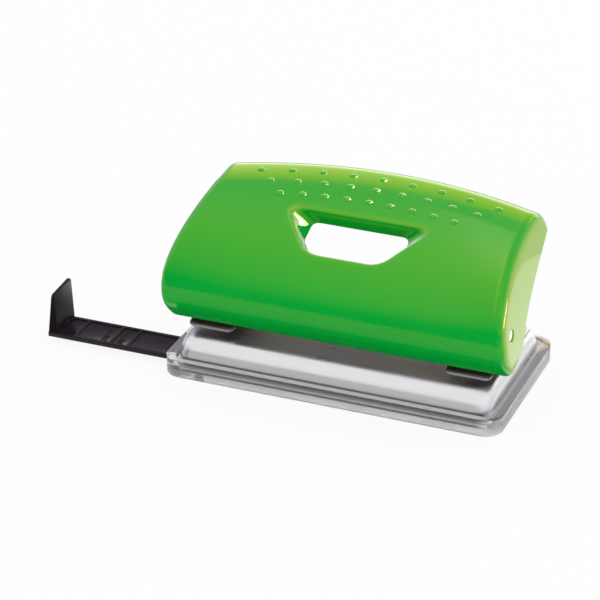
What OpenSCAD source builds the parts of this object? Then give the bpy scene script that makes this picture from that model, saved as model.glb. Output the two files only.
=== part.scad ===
// Two-hole desk punch: green press lever on a steel base over a chip tray, with a sliding paper guide.
// Frame: origin at the middle of the tray's underside, +X to the right, +Y to the rear, +Z up. Millimetres.

/* [Hole pattern] */
// centre distance of the two holes
hole_pitch = 80; // [79:0.5:81]
// diameter of a punch pin
pin_dia = 5.5; // [5.2:0.1:5.8]
// hole centre to the edge of the paper
edge_distance = 12; // [11:0.5:13]
// hole row behind the front edge, as a share of the tray's depth
hole_share = 0.42; // [0.41:0.005:0.43]

/* [Chip tray] */
// end of the tray beyond the centre of the near hole
tray_overhang = 12.3; // [12:0.1:13.5]
// depth of the tray from front to rear
tray_depth = 55; // [54:0.5:58]
// height of the rim
tray_height = 5.4; // [5.2:0.1:6]
// corner radius of the tray
tray_corner = 5.5; // [5:0.5:7]
// thickness of the floor
tray_floor = 1.2; // [1:0.1:1.3]
// width of the rim along the front and rear
rim_front = 2.3; // [2:0.1:2.6]
// width of the rim at the two ends
rim_end = 3.2; // [2.8:0.1:3.4]

/* [Base plate] */
// height of the flat top
plate_top = 11; // [10.5:0.1:12]
// sheet thickness of the base plate
plate_sheet = 0.8; // [0.6:0.1:1]
// run of the rounded shoulder along the front and rear
shoulder_front = 6; // [5:0.5:7]
// run of the rounded shoulder at the ends
shoulder_end = 2.6; // [2:0.2:3.4]

/* [Brackets] */
// width of a bracket
bracket_width = 14; // [13.6:0.2:14.6]
// sheet thickness of a bracket
bracket_sheet = 1.4; // [1.2:0.1:1.6]
// opening for the paper
throat = 2.5; // [2:0.1:2.8]
// axle above the underside of the bracket
axle_rise = 15.9; // [15.6:0.1:16.4]
// diameter of the rivets
rivet_dia = 3; // [2.6:0.2:3.4]

/* [Punch mechanism] */
// travel of a punch pin
punch_travel = 4.7; // [4.4:0.1:5]
// swing of the lever in degrees
press_angle = 18; // [17:0.5:19]
// wire diameter of a return spring
spring_wire = 0.8; // [0.7:0.05:0.9]
// number of coils of a return spring
spring_coils = 5; // [4:0.5:5.5]
// thickness of a die plate
die_thickness = 1.2; // [1:0.1:1.4]

/* [Lever] */
// end of the lever beyond the centre of the near hole
lever_overhang = 13.6; // [13.2:0.1:14.2]
// wall thickness of the lever
lever_wall = 2.2; // [1.8:0.1:2.4]
// front bulge ahead of the axle
lever_front = 7; // [6.8:0.1:7.4]
// ridge behind the axle at the lever's ends
lever_back = 35; // [34:0.25:36]
// ridge above the axle at the lever's ends
lever_rise = 21.3; // [20.5:0.1:22]
// hem below the axle
lever_drop = 13.3; // [12.8:0.1:13.5]
// rearward arch of the ridge in the middle
crown_back = 6.8; // [5:0.2:8]
// upward arch of the ridge in the middle
crown_up = 1.5; // [1:0.1:3]
// radius of the rounded end edges
end_round = 2.7; // [2:0.1:3]
// diameter of the axle
axle_dia = 4; // [3.6:0.1:4.2]

/* [Paper guide] */
// width of the guide bar
guide_width = 12.25; // [11:0.25:12.5]
// thickness of the guide bar
guide_thickness = 1.3; // [1.2:0.05:1.35]
// outer face of the stop from the middle of the punch
guide_reach = 92.6; // [91:0.2:94]
// length of the guide bar
guide_length = 98; // [94:1:100]
// height of the stop above the bar's underside
stop_height = 14.3; // [12:0.5:15]

/* [Fits] */
// radial clearance of running fits
run_fit = 0.05; // [0.03:0.01:0.08]
// clearance between sliding or loose pieces
loose_fit = 0.25; // [0.2:0.05:0.3]

/* [Hidden] */
$fn = 48;

// heights and depths that follow from the sizes above
tray_width = hole_pitch + 2 * tray_overhang;
lever_width = hole_pitch + 2 * lever_overhang;
front_y = -tray_depth / 2;
pin_x = hole_pitch / 2;
pin_y = front_y + hole_share * tray_depth;
skirt_low = 3.2;
bracket_low = plate_top + throat;
bracket_seat = bracket_low + bracket_sheet;
axle_z = bracket_low + axle_rise;
nose_start = press_angle / 2;
nose_arm = punch_travel / (sin(nose_start) - sin(nose_start - press_angle));
nose_mean = nose_arm * (cos(nose_start) + cos(nose_start - press_angle)) / 2;
axle_y = pin_y - nose_mean;
nose_y = axle_y + nose_arm * cos(nose_start);
nose_z = axle_z + nose_arm * sin(nose_start);
nose_radius = 2;
press_gap = 0.3;
pin_head = nose_z - nose_radius - press_gap;
pin_tip = bracket_low + 0.4;
clip_thickness = 0.6;
clip_low = pin_head - 2.1;
washer_thickness = 0.6;
washer_low = clip_low - washer_thickness;
bush_dia = pin_dia + 1.1;
bush_flange = 0.6;
bush_top = bracket_seat + 3.4;
spring_radius = pin_dia / 2 + 1.55;
spring_low = bracket_seat + bush_flange;
ear_gap = bracket_width / 2 - bracket_sheet;
lip_y = front_y + 12.6;
web_y = pin_y + edge_distance;
shell_half = tray_width / 2 - rim_end - loose_fit;
shell_deep = tray_depth / 2 - rim_front - loose_fit;
foot_y = shell_deep - shoulder_front - loose_fit;
rivet_y = (web_y + bracket_sheet + foot_y) / 2;
rivet_step = rivet_dia * 2.1;
rivet_offsets = [-0.65 * rivet_step, 0.35 * rivet_step];
die_margin = 3.25;
die_end = 1.7;

// points of a cubic curve at t
function curve(p, t) = pow(1 - t, 3) * p[0] + 3 * pow(1 - t, 2) * t * p[1]
    + 3 * (1 - t) * t * t * p[2] + pow(t, 3) * p[3];

// corner points of a rounded rectangle with half sizes hx and hy
function round_rect(hx, hy, r, n = 8) = [for (q = [0:3], k = [0:n])
    let (a = 90 * q + 90 * k / n, sx = (q == 0 || q == 3) ? 1 : -1, sy = q < 2 ? 1 : -1)
    [sx * (hx - r) + r * cos(a), sy * (hy - r) + r * sin(a)]];

// faces of a solid made of rings of m points each, closed by flat caps
function ring_faces(rings, m) = concat(
    [[for (i = [0:m - 1]) i]],
    [for (k = [0:rings - 2], i = [0:m - 1]) [k * m + i, (k + 1) * m + i, k * m + (i + 1) % m]],
    [for (k = [0:rings - 2], i = [0:m - 1])
        [(k + 1) * m + i, (k + 1) * m + (i + 1) % m, k * m + (i + 1) % m]],
    [[for (i = [m - 1:-1:0]) (rings - 1) * m + i]]);

// places a piece at the left and at the right hole
module at_hole(side) {
    translate([side * pin_x, 0, 0])
        children();
}

// extrudes an outline drawn in Y and Z along X, centred
module along_x(length) {
    rotate([90, 0, 90])
        linear_extrude(length, center = true)
            children();
}

// pillow shape of the base plate, drawn in by inset and lowered by drop
module pillow(inset, low, drop) {
    wall = tray_height - 0.4;
    steps = 9;
    m = 36;
    rise = plate_top - drop - wall;
    rings = concat(
        [for (p = round_rect(shell_half - inset, shell_deep - inset, tray_corner - inset)) [p[0], p[1], low]],
        [for (k = [0:steps], p = round_rect(
            shell_half - inset - (shoulder_end - inset * 0.5) * (1 - cos(90 * k / steps)),
            shell_deep - inset - (shoulder_front - inset * 0.5) * (1 - cos(90 * k / steps)),
            tray_corner - inset))
            [p[0], p[1], wall + rise * sin(90 * k / steps)]]);
    polyhedron(rings, ring_faces(steps + 2, m));
}

// drawn steel base with the two holes and the rivet holes
module base_plate() {
    color([0.75, 0.75, 0.77])
    difference() {
        pillow(0, skirt_low, 0);
        pillow(plate_sheet, skirt_low - 1, plate_sheet);
        for (side = [-1, 1])
            at_hole(side) {
                translate([0, pin_y, plate_top - 3])
                    cylinder(d = pin_dia + 0.9, h = 6);
                for (x = rivet_offsets)
                    translate([side * x, rivet_y, plate_top - 3])
                        cylinder(d = rivet_dia + 2 * run_fit, h = 6);
            }
    }
}

// rounded block from the tray's frame
module tray_block(inset_x, inset_y, low, high) {
    r = max(tray_corner - max(inset_x, inset_y), 1.5);
    hx = tray_width / 2 - inset_x;
    hy = tray_depth / 2 - inset_y;
    translate([0, 0, low])
        linear_extrude(high - low)
            union() {
                square([2 * hx, 2 * (hy - r)], center = true);
                square([2 * (hx - r), 2 * hy], center = true);
                for (sx = [-1, 1], sy = [-1, 1])
                    translate([sx * (hx - r), sy * (hy - r)])
                        circle(r);
            }
}

guide_low = tray_floor + loose_fit;
guide_high = guide_low + guide_thickness;
guide_front = front_y + 7;
guide_rear = guide_front + guide_width;
guide_end = guide_length - guide_reach;
ledge = 1;
ledge_top = skirt_low;

// rail beside the guide bar, with a lip over the bar's edge
module guide_rail(y, towards) {
    low = tray_floor - 0.1;
    lip_low = guide_high + loose_fit;
    corner_room = 1;
    length = 2 * (shell_half - plate_sheet - corner_room);
    along_x(length)
        polygon([[y, low], [y + towards * 1.2, low], [y + towards * 1.2, lip_low + 0.8],
            [y - towards * 0.9, lip_low + 0.8], [y - towards * 0.9, lip_low], [y, lip_low]]);
}

// frosted tray: floor, stepped wall, rails and the window for the guide bar
module chip_tray() {
    color([0.85, 0.87, 0.88, 0.6])
    difference() {
        union() {
            difference() {
                tray_block(0, 0, 0, tray_height);
                tray_block(rim_end, rim_front, ledge_top, tray_height + 1);
                tray_block(rim_end + ledge, rim_front + ledge, tray_floor, ledge_top + 1);
            }
            guide_rail(guide_front - loose_fit, -1);
            guide_rail(guide_rear + loose_fit, 1);
        }
        translate([-tray_width / 2 - 1, guide_front - loose_fit, tray_floor])
            cube([rim_end + ledge + 3, guide_width + 2 * loose_fit, guide_high + loose_fit - tray_floor]);
    }
}

// guide bar with raised edges, cross lines, end catch and the upright stop
module paper_guide() {
    edge = 1.1;
    recess = 0.4;
    stop_thick = 2;
    cross_lines = [13.6, 25, 30.8];
    line_width = 0.8;
    panel_starts = concat([stop_thick + 1.6], [for (c = cross_lines) c + line_width]);
    panel_ends = concat(cross_lines, [guide_length - 6]);
    color([0.06, 0.06, 0.07]) {
        difference() {
            translate([-guide_reach, guide_front, guide_low])
                cube([guide_length, guide_width, guide_thickness]);
            for (k = [0:len(panel_starts) - 1])
                translate([-guide_reach + panel_starts[k], guide_front + edge, guide_high - recess])
                    cube([panel_ends[k] - panel_starts[k], guide_width - 2 * edge, recess + 1]);
        }
        translate([guide_end - 3, guide_front + 3, guide_high - 0.2])
            cube([2, guide_width - 6, 0.9]);
        intersection() {
            translate([-guide_reach + 3, 0, 0])
                along_x(6)
                    polygon([[guide_front, guide_low], [guide_front + 0.7, guide_low + stop_height - 1.2],
                        [guide_front + 1.3, guide_low + stop_height - 0.5],
                        [guide_rear - 0.4, guide_low + stop_height],
                        [guide_rear + 0.3, guide_low + stop_height - 0.7], [guide_rear, guide_low]]);
            translate([0, guide_rear + 10, 0])
                rotate([90, 0, 0])
                    linear_extrude(guide_width + 20)
                        polygon([[-guide_reach, guide_low], [-guide_reach + stop_thick + 1, guide_low],
                            [-guide_reach + stop_thick + 0.9, guide_low + guide_thickness],
                            [-guide_reach + stop_thick, guide_low + stop_height + 0.1],
                            [-guide_reach + 1.2, guide_low + stop_height + 0.1]]);
        }
    }
}

// quarter of a ring in the Y-Z outline, a bend of the sheet
module bend(y, z, inner, turn) {
    translate([y, z])
        rotate(turn)
            intersection() {
                difference() {
                    circle(inner + bracket_sheet);
                    circle(inner);
                }
                square(inner + bracket_sheet);
            }
}

// side outline of the strip: front lip, guide plate, rear web and foot
module bracket_strip() {
    r = 0.8;
    big = r + bracket_sheet;
    translate([lip_y, bracket_low])
        square([web_y - lip_y - r, bracket_sheet]);
    translate([lip_y, bracket_low + big])
        intersection() {
            difference() {
                circle(big);
                circle(r);
            }
            polygon([[0.01, 0.01], [0.01, -big - 1], [-(big + 1) * sin(50), -(big + 1) * cos(50)]]);
        }
    translate([web_y - r, bracket_low])
        difference() {
            square(big);
            translate([0, bracket_sheet - big])
                difference() {
                    square(big + 1);
                    circle(big);
                }
        }
    translate([web_y, plate_top])
        square([bracket_sheet, throat]);
    translate([web_y, plate_top])
        square([foot_y - web_y, bracket_sheet]);
}

// side outline of an ear with the axle boss
module bracket_ear() {
    ear_front = lip_y + 0.4;
    boss = 3.6;
    translate([axle_y, axle_z])
        circle(boss);
    polygon([[ear_front, bracket_low], [ear_front, bracket_low + 4], [axle_y - boss * 0.8, axle_z - boss * 0.6],
        [axle_y, axle_z + boss], [axle_y + boss * 0.6, axle_z + boss * 0.8], [pin_y + 2, bracket_low + 9],
        [web_y, bracket_seat + 1.4], [web_y, bracket_low + 0.3], [web_y - 2, bracket_low]]);
}

// folded punch head
module bracket(side) {
    difference() {
        union() {
            along_x(bracket_width)
                bracket_strip();
            for (s = [-1, 1])
                translate([s * (bracket_width - bracket_sheet) / 2, 0, 0])
                    along_x(bracket_sheet)
                        bracket_ear();
        }
        translate([0, pin_y, bracket_low - 1])
            cylinder(d = bush_dia, h = bracket_sheet + 2);
        translate([-bracket_width, axle_y, axle_z])
            rotate([0, 90, 0])
                cylinder(d = axle_dia + 2 * run_fit, h = 2 * bracket_width);
        for (x = rivet_offsets)
            translate([side * x, rivet_y, plate_top - 1])
                cylinder(d = rivet_dia + 2 * run_fit, h = bracket_sheet + 2);
    }
}

module left_bracket() {
    color([0.16, 0.16, 0.17])
        at_hole(-1)
            bracket(-1);
}

module right_bracket() {
    color([0.16, 0.16, 0.17])
        at_hole(1)
            bracket(1);
}

// hardened plate under the base with the cutting hole, longer on its inner side
module die_plate(side) {
    low = plate_top - plate_sheet - die_thickness;
    depth = pin_dia + 2 * die_margin;
    width = bracket_width / 2 + pin_dia / 2 + die_end;
    middle = side * (pin_dia / 2 + die_end - width / 2);
    difference() {
        translate([middle - width / 2, pin_y - depth / 2, low])
            cube([width, depth, die_thickness]);
        translate([0, pin_y, low - 1])
            cylinder(d = pin_dia + 2 * run_fit, h = die_thickness + 2);
    }
}

module left_die_plate() {
    color([0.5, 0.5, 0.52])
        at_hole(-1)
            die_plate(-1);
}

module right_die_plate() {
    color([0.5, 0.5, 0.52])
        at_hole(1)
            die_plate(1);
}

// one rivet with a domed head and a set lower head
module rivet() {
    high = plate_top + bracket_sheet;
    low = plate_top - plate_sheet;
    r = rivet_dia / 2;
    rotate_extrude()
        polygon([[0, low - 0.7], [r + 0.5, low - 0.7], [r + 0.8, low - 0.3], [r + 0.8, low], [r, low],
            [r, high], [r + 1, high], [r + 0.9, high + 0.45], [r + 0.35, high + 0.9], [0, high + 1.1]]);
}

module bracket_rivets(side) {
    for (x = rivet_offsets)
        translate([side * x, rivet_y, 0])
            rivet();
}

module left_bracket_rivets() {
    color([0.7, 0.7, 0.72])
        at_hole(-1)
            bracket_rivets(-1);
}

module right_bracket_rivets() {
    color([0.7, 0.7, 0.72])
        at_hole(1)
            bracket_rivets(1);
}

// turned bush with a spring seat, set in the bracket
module guide_bush() {
    r = bush_dia / 2;
    inner = pin_dia / 2 + run_fit;
    translate([0, pin_y, 0])
        rotate_extrude()
            polygon([[inner, bracket_low], [r, bracket_low], [r, bracket_seat],
                [spring_radius + spring_wire / 2 + 0.2, bracket_seat],
                [spring_radius + spring_wire / 2 + 0.2, spring_low], [r, spring_low],
                [r, bush_top - 0.4], [r - 0.2, bush_top], [inner, bush_top]]);
}

module left_guide_bush() {
    color([0.72, 0.58, 0.3])
        at_hole(-1)
            guide_bush();
}

module right_guide_bush() {
    color([0.72, 0.58, 0.3])
        at_hole(1)
            guide_bush();
}

// punch pin with a notched cutting end, a clip groove and a rounded head
module punch_pin() {
    r = pin_dia / 2;
    translate([0, pin_y, 0])
        difference() {
            rotate_extrude()
                polygon([[0, pin_tip], [r, pin_tip], [r, clip_low], [r - 0.6, clip_low],
                    [r - 0.6, clip_low + clip_thickness + 0.1], [r, clip_low + clip_thickness + 0.1],
                    [r, pin_head - 0.6], [r - 0.6, pin_head], [0, pin_head]]);
            along_x(pin_dia + 2)
                polygon([[-r * 0.9, pin_tip - 0.1], [0, pin_tip + 1], [r * 0.9, pin_tip - 0.1]]);
        }
}

module left_punch_pin() {
    color([0.6, 0.6, 0.62])
        at_hole(-1)
            punch_pin();
}

module right_punch_pin() {
    color([0.6, 0.6, 0.62])
        at_hole(1)
            punch_pin();
}

// return spring as one unbroken tube, its end coils drawn closer
spring_span = washer_low - spring_low - spring_wire - 0.1;
spring_steps = spring_coils * 8;
function spring_rise(t) = let (k = 0.16)
    t < k ? 0.5 * (t / k) * t / k * k * 1.0 + 0.5 * t
    : t > 1 - k ? 1 - spring_rise(1 - t) : t;
function spring_mid(i) = let (t = i / spring_steps, a = 360 * spring_coils * t)
    [spring_radius * cos(a), spring_radius * sin(a), spring_low + spring_wire / 2 + 0.05 + spring_span * spring_rise(t)];
spring_gap = min([for (i = [0:spring_steps - 8]) for (j = [i + 6:min(i + 10, spring_steps)])
    norm(spring_mid(j) - spring_mid(i))]) - spring_wire;
echo(spring_self_gap = spring_gap);

module return_spring() {
    rings = [for (i = [0:spring_steps]) let (c = spring_mid(i), a = 360 * spring_coils * i / spring_steps)
        for (k = [0:5]) let (b = 60 * k, d = spring_wire / 2 * cos(b))
            [c[0] + d * cos(a), c[1] + d * sin(a), c[2] + spring_wire / 2 * sin(b)]];
    translate([0, pin_y, 0])
        polyhedron(rings, [for (f = ring_faces(spring_steps + 1, 6)) [for (i = [len(f) - 1:-1:0]) f[i]]]);
}

module left_return_spring() {
    color([0.62, 0.63, 0.65])
        at_hole(-1)
            return_spring();
}

module right_return_spring() {
    color([0.62, 0.63, 0.65])
        at_hole(1)
            return_spring();
}

// washer between the spring and the clip
module spring_washer() {
    translate([0, pin_y, washer_low])
        difference() {
            cylinder(r = spring_radius + spring_wire / 2 + 0.1, h = washer_thickness);
            translate([0, 0, -1])
                cylinder(d = pin_dia + 2 * run_fit, h = washer_thickness + 2);
        }
}

module left_spring_washer() {
    color([0.66, 0.66, 0.68])
        at_hole(-1)
            spring_washer();
}

module right_spring_washer() {
    color([0.66, 0.66, 0.68])
        at_hole(1)
            spring_washer();
}

// open clip that sits in a groove
module open_clip(core, outer) {
    difference() {
        cylinder(d = outer, h = clip_thickness);
        translate([0, 0, -1])
            cylinder(d = core, h = clip_thickness + 2);
        translate([-core * 0.38, 0, -1])
            cube([core * 0.76, outer, clip_thickness + 2]);
    }
}

module pin_clip() {
    translate([0, pin_y, clip_low])
        open_clip(pin_dia - 1.2 + 2 * run_fit, pin_dia + 2.4);
}

module left_pin_clip() {
    color([0.3, 0.3, 0.32])
        at_hole(-1)
            pin_clip();
}

module right_pin_clip() {
    color([0.3, 0.3, 0.32])
        at_hole(1)
            pin_clip();
}

axle_clip_x = pin_x - bracket_width / 2 - loose_fit - clip_thickness;
axle_half = lever_half(0) - 0.9;

// axle with a groove inside each bracket
module lever_axle() {
    r = axle_dia / 2;
    groove = axle_clip_x - 0.05;
    color([0.78, 0.78, 0.8])
        translate([0, axle_y, axle_z])
            rotate([0, 90, 0])
                rotate_extrude()
                    polygon([[0, -axle_half], [r - 0.3, -axle_half], [r, -axle_half + 0.3],
                        [r, -groove - clip_thickness - 0.1], [r - 0.5, -groove - clip_thickness - 0.1],
                        [r - 0.5, -groove], [r, -groove], [r, groove], [r - 0.5, groove],
                        [r - 0.5, groove + clip_thickness + 0.1], [r, groove + clip_thickness + 0.1],
                        [r, axle_half - 0.3], [r - 0.3, axle_half], [0, axle_half]]);
}

module axle_clip() {
    translate([axle_clip_x, axle_y, axle_z])
        rotate([0, 90, 0])
            open_clip(axle_dia - 1 + 2 * run_fit, axle_dia + 3);
}

module left_axle_clip() {
    color([0.3, 0.3, 0.32])
        mirror([1, 0, 0])
            axle_clip();
}

module right_axle_clip() {
    color([0.3, 0.3, 0.32])
        axle_clip();
}

// half length of the lever at a height above the axle, its end walls bowed inwards to the top
function lever_half(dz) = lever_width / 2 - 0.0048 * pow(max(dz + 11.4, 0), 2);

// front and top outline of the lever at its ends, from the hem to the rear edge, around the axle
hem = [0.3, -lever_drop];
bulge = [-lever_front, 0.6];
ridge = [lever_back, lever_rise];
rear_edge = [lever_back + 7.4, lever_rise - 7.3];
low_curve = [hem, hem + [-4.8, 4.3], bulge - [0, 6.2], bulge];
high_curve = [bulge, bulge + [0, 12.4], ridge - [21.5, 0.8], ridge];
rear_curve = [ridge, ridge + [4.2, 0.2], rear_edge + [1.6, 4.6], rear_edge];
front_steps = 20;
function front_at(u) = u < 0.27 ? curve(low_curve, u / 0.27)
    : u < 0.8 ? curve(high_curve, (u - 0.27) / 0.53) : curve(rear_curve, (u - 0.8) / 0.2);
function front_normal(u) = let (d = front_at(min(u + 0.004, 1)) - front_at(max(u - 0.004, 0)))
    [-d[1], d[0]] / norm(d);

// rear outline of the end walls, from the rear edge down to the hem
back_high = [rear_edge, rear_edge - [10.4, 4.6], [13.5, 1.8], [10.1, -7.5]];
back_low = [[10.1, -7.5], [9.3, -9.7], [5.3, -11.5], hem];
function back_at(v) = v < 0.72 ? curve(back_high, v / 0.72) : curve(back_low, (v - 0.72) / 0.28);

// arch of the upper part: none at the bulge, full at the ridge
function arch(z) = let (k = min(max((z - bulge[1]) / (lever_rise - bulge[1] - 2), 0), 1)) k * k * (3 - 2 * k);

// a point of the lever's skin: s runs along X from -1 to 1, depth goes inwards from the skin
function skin(s, u, depth, short) = let (q = front_at(u), n = front_normal(u), c = arch(q[1]) * (1 - s * s),
        p = q - depth * n)
    [s * (lever_half(p[1]) - short), p[0] + crown_back * c, p[1] + crown_up * c];

// stations along X: [s, inset of the outline, shortening of the length]
round_steps = 3;
inner_steps = 10;
function end_station(k) = let (a = 90 * k / round_steps)
    [1, end_round * (1 - cos(a)), end_round * (1 - sin(a))];
stations = concat(
    [for (k = [round_steps:-1:0]) let (e = end_station(k)) [-1, e[1], e[2]]],
    [for (k = [1:inner_steps - 1]) [2 * k / inner_steps - 1, 0, end_round]],
    [for (k = [0:round_steps]) end_station(k)]);

// closed outline of one station
function station_points(e) = concat(
    [for (i = [0:front_steps]) skin(e[0], i / front_steps, e[1], e[2])],
    [for (i = [1:front_steps - 1]) let (b = back_at(i / front_steps), g = skin(e[0], 1, e[1], e[2]),
            h = skin(e[0], 0, e[1], e[2]), w = 1 - i / front_steps,
            shift = w * (g - [g[0], rear_edge[0], rear_edge[1]]) + (1 - w) * (h - [h[0], hem[0], hem[1]]))
        [e[0] * (lever_half(b[1]) - e[2]), b[0] + shift[1], b[1] + shift[2]]]);

// solid lever body before it is hollowed
module lever_body() {
    m = 2 * front_steps;
    count = len(stations);
    last = (count - 1) * m;
    points = [for (e = stations) each station_points(e)];
    sides = [for (k = [0:count - 2], i = [0:m - 1]) each
        [[k * m + i, k * m + (i + 1) % m, (k + 1) * m + i],
         [(k + 1) * m + i, k * m + (i + 1) % m, (k + 1) * m + (i + 1) % m]]];
    caps = [for (i = [0:front_steps - 1]) let (a = i, b = i + 1, c = (m - i - 1) % m, d = (m - i) % m) each
        concat(b == c ? [] : [[a, c, b]], d == a ? [] : [[a, d, c]])];
    ends = concat(caps, [for (f = caps) [last + f[2], last + f[1], last + f[0]]]);
    polyhedron(points, concat(sides, ends));
}

// hollow inside the lever, open to the rear and below
module lever_hollow() {
    wall = lever_wall;
    count = 9;
    m = front_steps + 4;
    points = [for (k = [0:count - 1]) let (s = 2 * k / (count - 1) - 1) each concat(
        [for (i = [0:front_steps]) skin(s, i / front_steps, wall, wall)],
        [for (p = [[70, rear_edge[1]], [70, -30], [6, -30]]) [s * (lever_half(0) - wall), p[0], p[1]]])];
    polyhedron(points, [for (f = ring_faces(count, m)) [for (i = [len(f) - 1:-1:0]) f[i]]]);
}

// outline of the hand hole at a depth behind the panel, grown by a wall: a wide mouth that closes to the throat
hole_tilt = 25;
hole_mid = [14.2, 17.2];
hole_depth = 4.6;
mouth_corners = [[11.2, -10.7], [16.4, -3.3], [22.6, 5.3]];
neck_corners = [[10.5, -10], [15.2, -3.3], [15.2, 4.2]];
mouth_rounds = [4, 1.5, 5];
neck_rounds = [3, 1.5, 2.2];
function hand_outline(depth, grow) = let (k = depth / hole_depth,
        right = [for (i = [0:2]) mouth_corners[i] + k * (neck_corners[i] - mouth_corners[i])],
        reach = [for (i = [0:2]) mouth_rounds[i] + k * (neck_rounds[i] - mouth_rounds[i])],
        corners = concat(right, [for (i = [2:-1:0]) [-right[i][0], right[i][1]]]),
        rounds = concat(reach, [for (i = [2:-1:0]) reach[i]]))
    [for (i = [0:5]) let (p = corners[i], a = corners[(i + 5) % 6], b = corners[(i + 1) % 6], r = rounds[i])
        for (t = [0:0.25:1]) let (f = p + (a - p) / norm(a - p) * r, g = p + (b - p) / norm(b - p) * r,
            q = (1 - t) * (1 - t) * f + 2 * t * (1 - t) * p + t * t * g)
            [q[0] * (1 + grow / 16), -2.5 + (q[1] + 2.5) * (1 + grow / 8.1)]];

// body of the hand hole between two depths
module hand_body(from, to, grow) {
    rings = [for (d = [to, from]) each [for (q = hand_outline(d, grow))
        [q[0], hole_mid[0] + q[1] * cos(hole_tilt) + d * sin(hole_tilt),
            hole_mid[1] + q[1] * sin(hole_tilt) - d * cos(hole_tilt)]]];
    polyhedron(rings, ring_faces(2, 30));
}

// grip domes in three rows on the top, as one set of small faceted caps
bump_rows = [[0.773, 9.28], [0.7215, 8.06], [0.6656, 6.77]];
bump_radius = 1.25;
bump_height = 0.5;
function bump_frame(x, u) = let (s = x / lever_half(front_at(u)[1]), p = skin(s, u, 0, 0),
        a = skin(s + 0.01, u, 0, 0) - skin(s - 0.01, u, 0, 0), b = skin(s, u + 0.005, 0, 0) - skin(s, u - 0.005, 0, 0),
        ex = a / norm(a), n = cross(ex, b / norm(b)), nz = n / norm(n))
    [p, ex, cross(nz, ex), nz];
module grip_bumps() {
    frames = [for (row = bump_rows, k = [-4:4]) bump_frame(k * row[1], row[0])];
    n = 7;
    rings = [[bump_radius, -0.6], [bump_radius * 0.72, bump_height * 0.7]];
    points = [for (f = frames) each concat(
        [for (r = rings, k = [0:n - 1]) f[0] + r[0] * cos(360 * k / n) * f[1] + r[0] * sin(360 * k / n) * f[2]
            + r[1] * f[3]],
        [f[0] + bump_height * f[3]])];
    faces = [for (b = [0:len(frames) - 1]) let (o = b * (2 * n + 1)) each concat(
        [[for (k = [0:n - 1]) o + k]],
        [for (k = [0:n - 1]) [o + k, o + n + k, o + (k + 1) % n]],
        [for (k = [0:n - 1]) [o + n + k, o + n + (k + 1) % n, o + (k + 1) % n]],
        [for (k = [0:n - 1]) [o + n + k, o + 2 * n, o + n + (k + 1) % n]])];
    polyhedron(points, faces);
}

// press rib above a pin: a round nose and a web that runs up into the panel
module press_rib() {
    width = 2 * ear_gap - 2.4;
    y = nose_y - axle_y;
    z = nose_z - axle_z;
    s = pin_x / lever_half(lever_rise);
    a = skin(s, 0.6, lever_wall / 2, 0);
    b = skin(s, 0.64, lever_wall / 2, 0);
    along_x(width) {
        translate([y, z])
            circle(nose_radius);
        polygon([[y - 1.6, z], [y + 1.6, z], [b[1], b[2]], [a[1], a[2]]]);
    }
}

// skin of the lever with the hand hole and the grip bumps, brought to its exact length
module lever_skin() {
    resize([lever_width, 0, 0])
        difference() {
            union() {
                difference() {
                    lever_body();
                    lever_hollow();
                }
                hand_body(1.05, 5, 1.8);
                grip_bumps();
            }
            hand_body(-2.6, 5.5, 0);
        }
}

// moulded lever: skin, press ribs and bored axle bosses
module lever_shell() {
    boss_low = pin_x + bracket_width / 2 + 0.5;
    color([0.2, 0.68, 0.16])
    translate([0, axle_y, axle_z])
    difference() {
        union() {
            lever_skin();
            for (side = [-1, 1])
                at_hole(side)
                    press_rib();
            for (side = [-1, 1])
                rotate([0, side * 90, 0])
                    translate([0, 0, boss_low])
                        cylinder(r = axle_dia / 2 + 2, h = lever_half(0) - lever_wall + 0.6 - boss_low);
        }
        rotate([0, 90, 0])
            cylinder(d = axle_dia + 2 * run_fit, h = 2 * lever_width, center = true);
    }
}

base_plate();
chip_tray();
paper_guide();
left_bracket();
right_bracket();
left_die_plate();
right_die_plate();
left_bracket_rivets();
right_bracket_rivets();
left_guide_bush();
right_guide_bush();
left_punch_pin();
right_punch_pin();
left_return_spring();
right_return_spring();
left_spring_washer();
right_spring_washer();
left_pin_clip();
right_pin_clip();
lever_axle();
left_axle_clip();
right_axle_clip();
lever_shell();
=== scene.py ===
import math
import bmesh
import bpy
import numpy as np
from mathutils import Matrix, Vector, geometry


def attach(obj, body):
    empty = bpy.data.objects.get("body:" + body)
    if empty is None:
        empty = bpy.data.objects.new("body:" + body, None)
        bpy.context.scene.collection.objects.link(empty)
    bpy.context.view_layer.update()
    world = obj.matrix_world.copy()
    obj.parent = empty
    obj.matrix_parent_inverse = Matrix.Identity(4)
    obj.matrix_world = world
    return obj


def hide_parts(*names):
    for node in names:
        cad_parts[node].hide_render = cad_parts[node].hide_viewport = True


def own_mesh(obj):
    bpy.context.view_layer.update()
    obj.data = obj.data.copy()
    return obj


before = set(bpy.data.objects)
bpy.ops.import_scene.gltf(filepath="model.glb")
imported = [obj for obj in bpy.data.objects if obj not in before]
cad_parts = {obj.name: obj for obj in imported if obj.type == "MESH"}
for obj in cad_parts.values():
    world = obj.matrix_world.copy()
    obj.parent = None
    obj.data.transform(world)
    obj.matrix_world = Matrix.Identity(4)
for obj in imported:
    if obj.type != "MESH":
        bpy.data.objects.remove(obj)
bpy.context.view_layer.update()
mm = 0.001
print("frame loaded:", len(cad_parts), "nodes")


# materials

def newMaterial(name):
    mat = bpy.data.materials.new(name)
    mat.use_nodes = True
    nodes = mat.node_tree.nodes
    return mat, nodes, mat.node_tree.links, nodes["Principled BSDF"]


def addNode(nodes, kind, **values):
    node = nodes.new(kind)
    for key, value in values.items():
        if hasattr(node, key):
            setattr(node, key, value)
        else:
            node.inputs[key.replace("_", " ")].default_value = value
    return node


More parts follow.
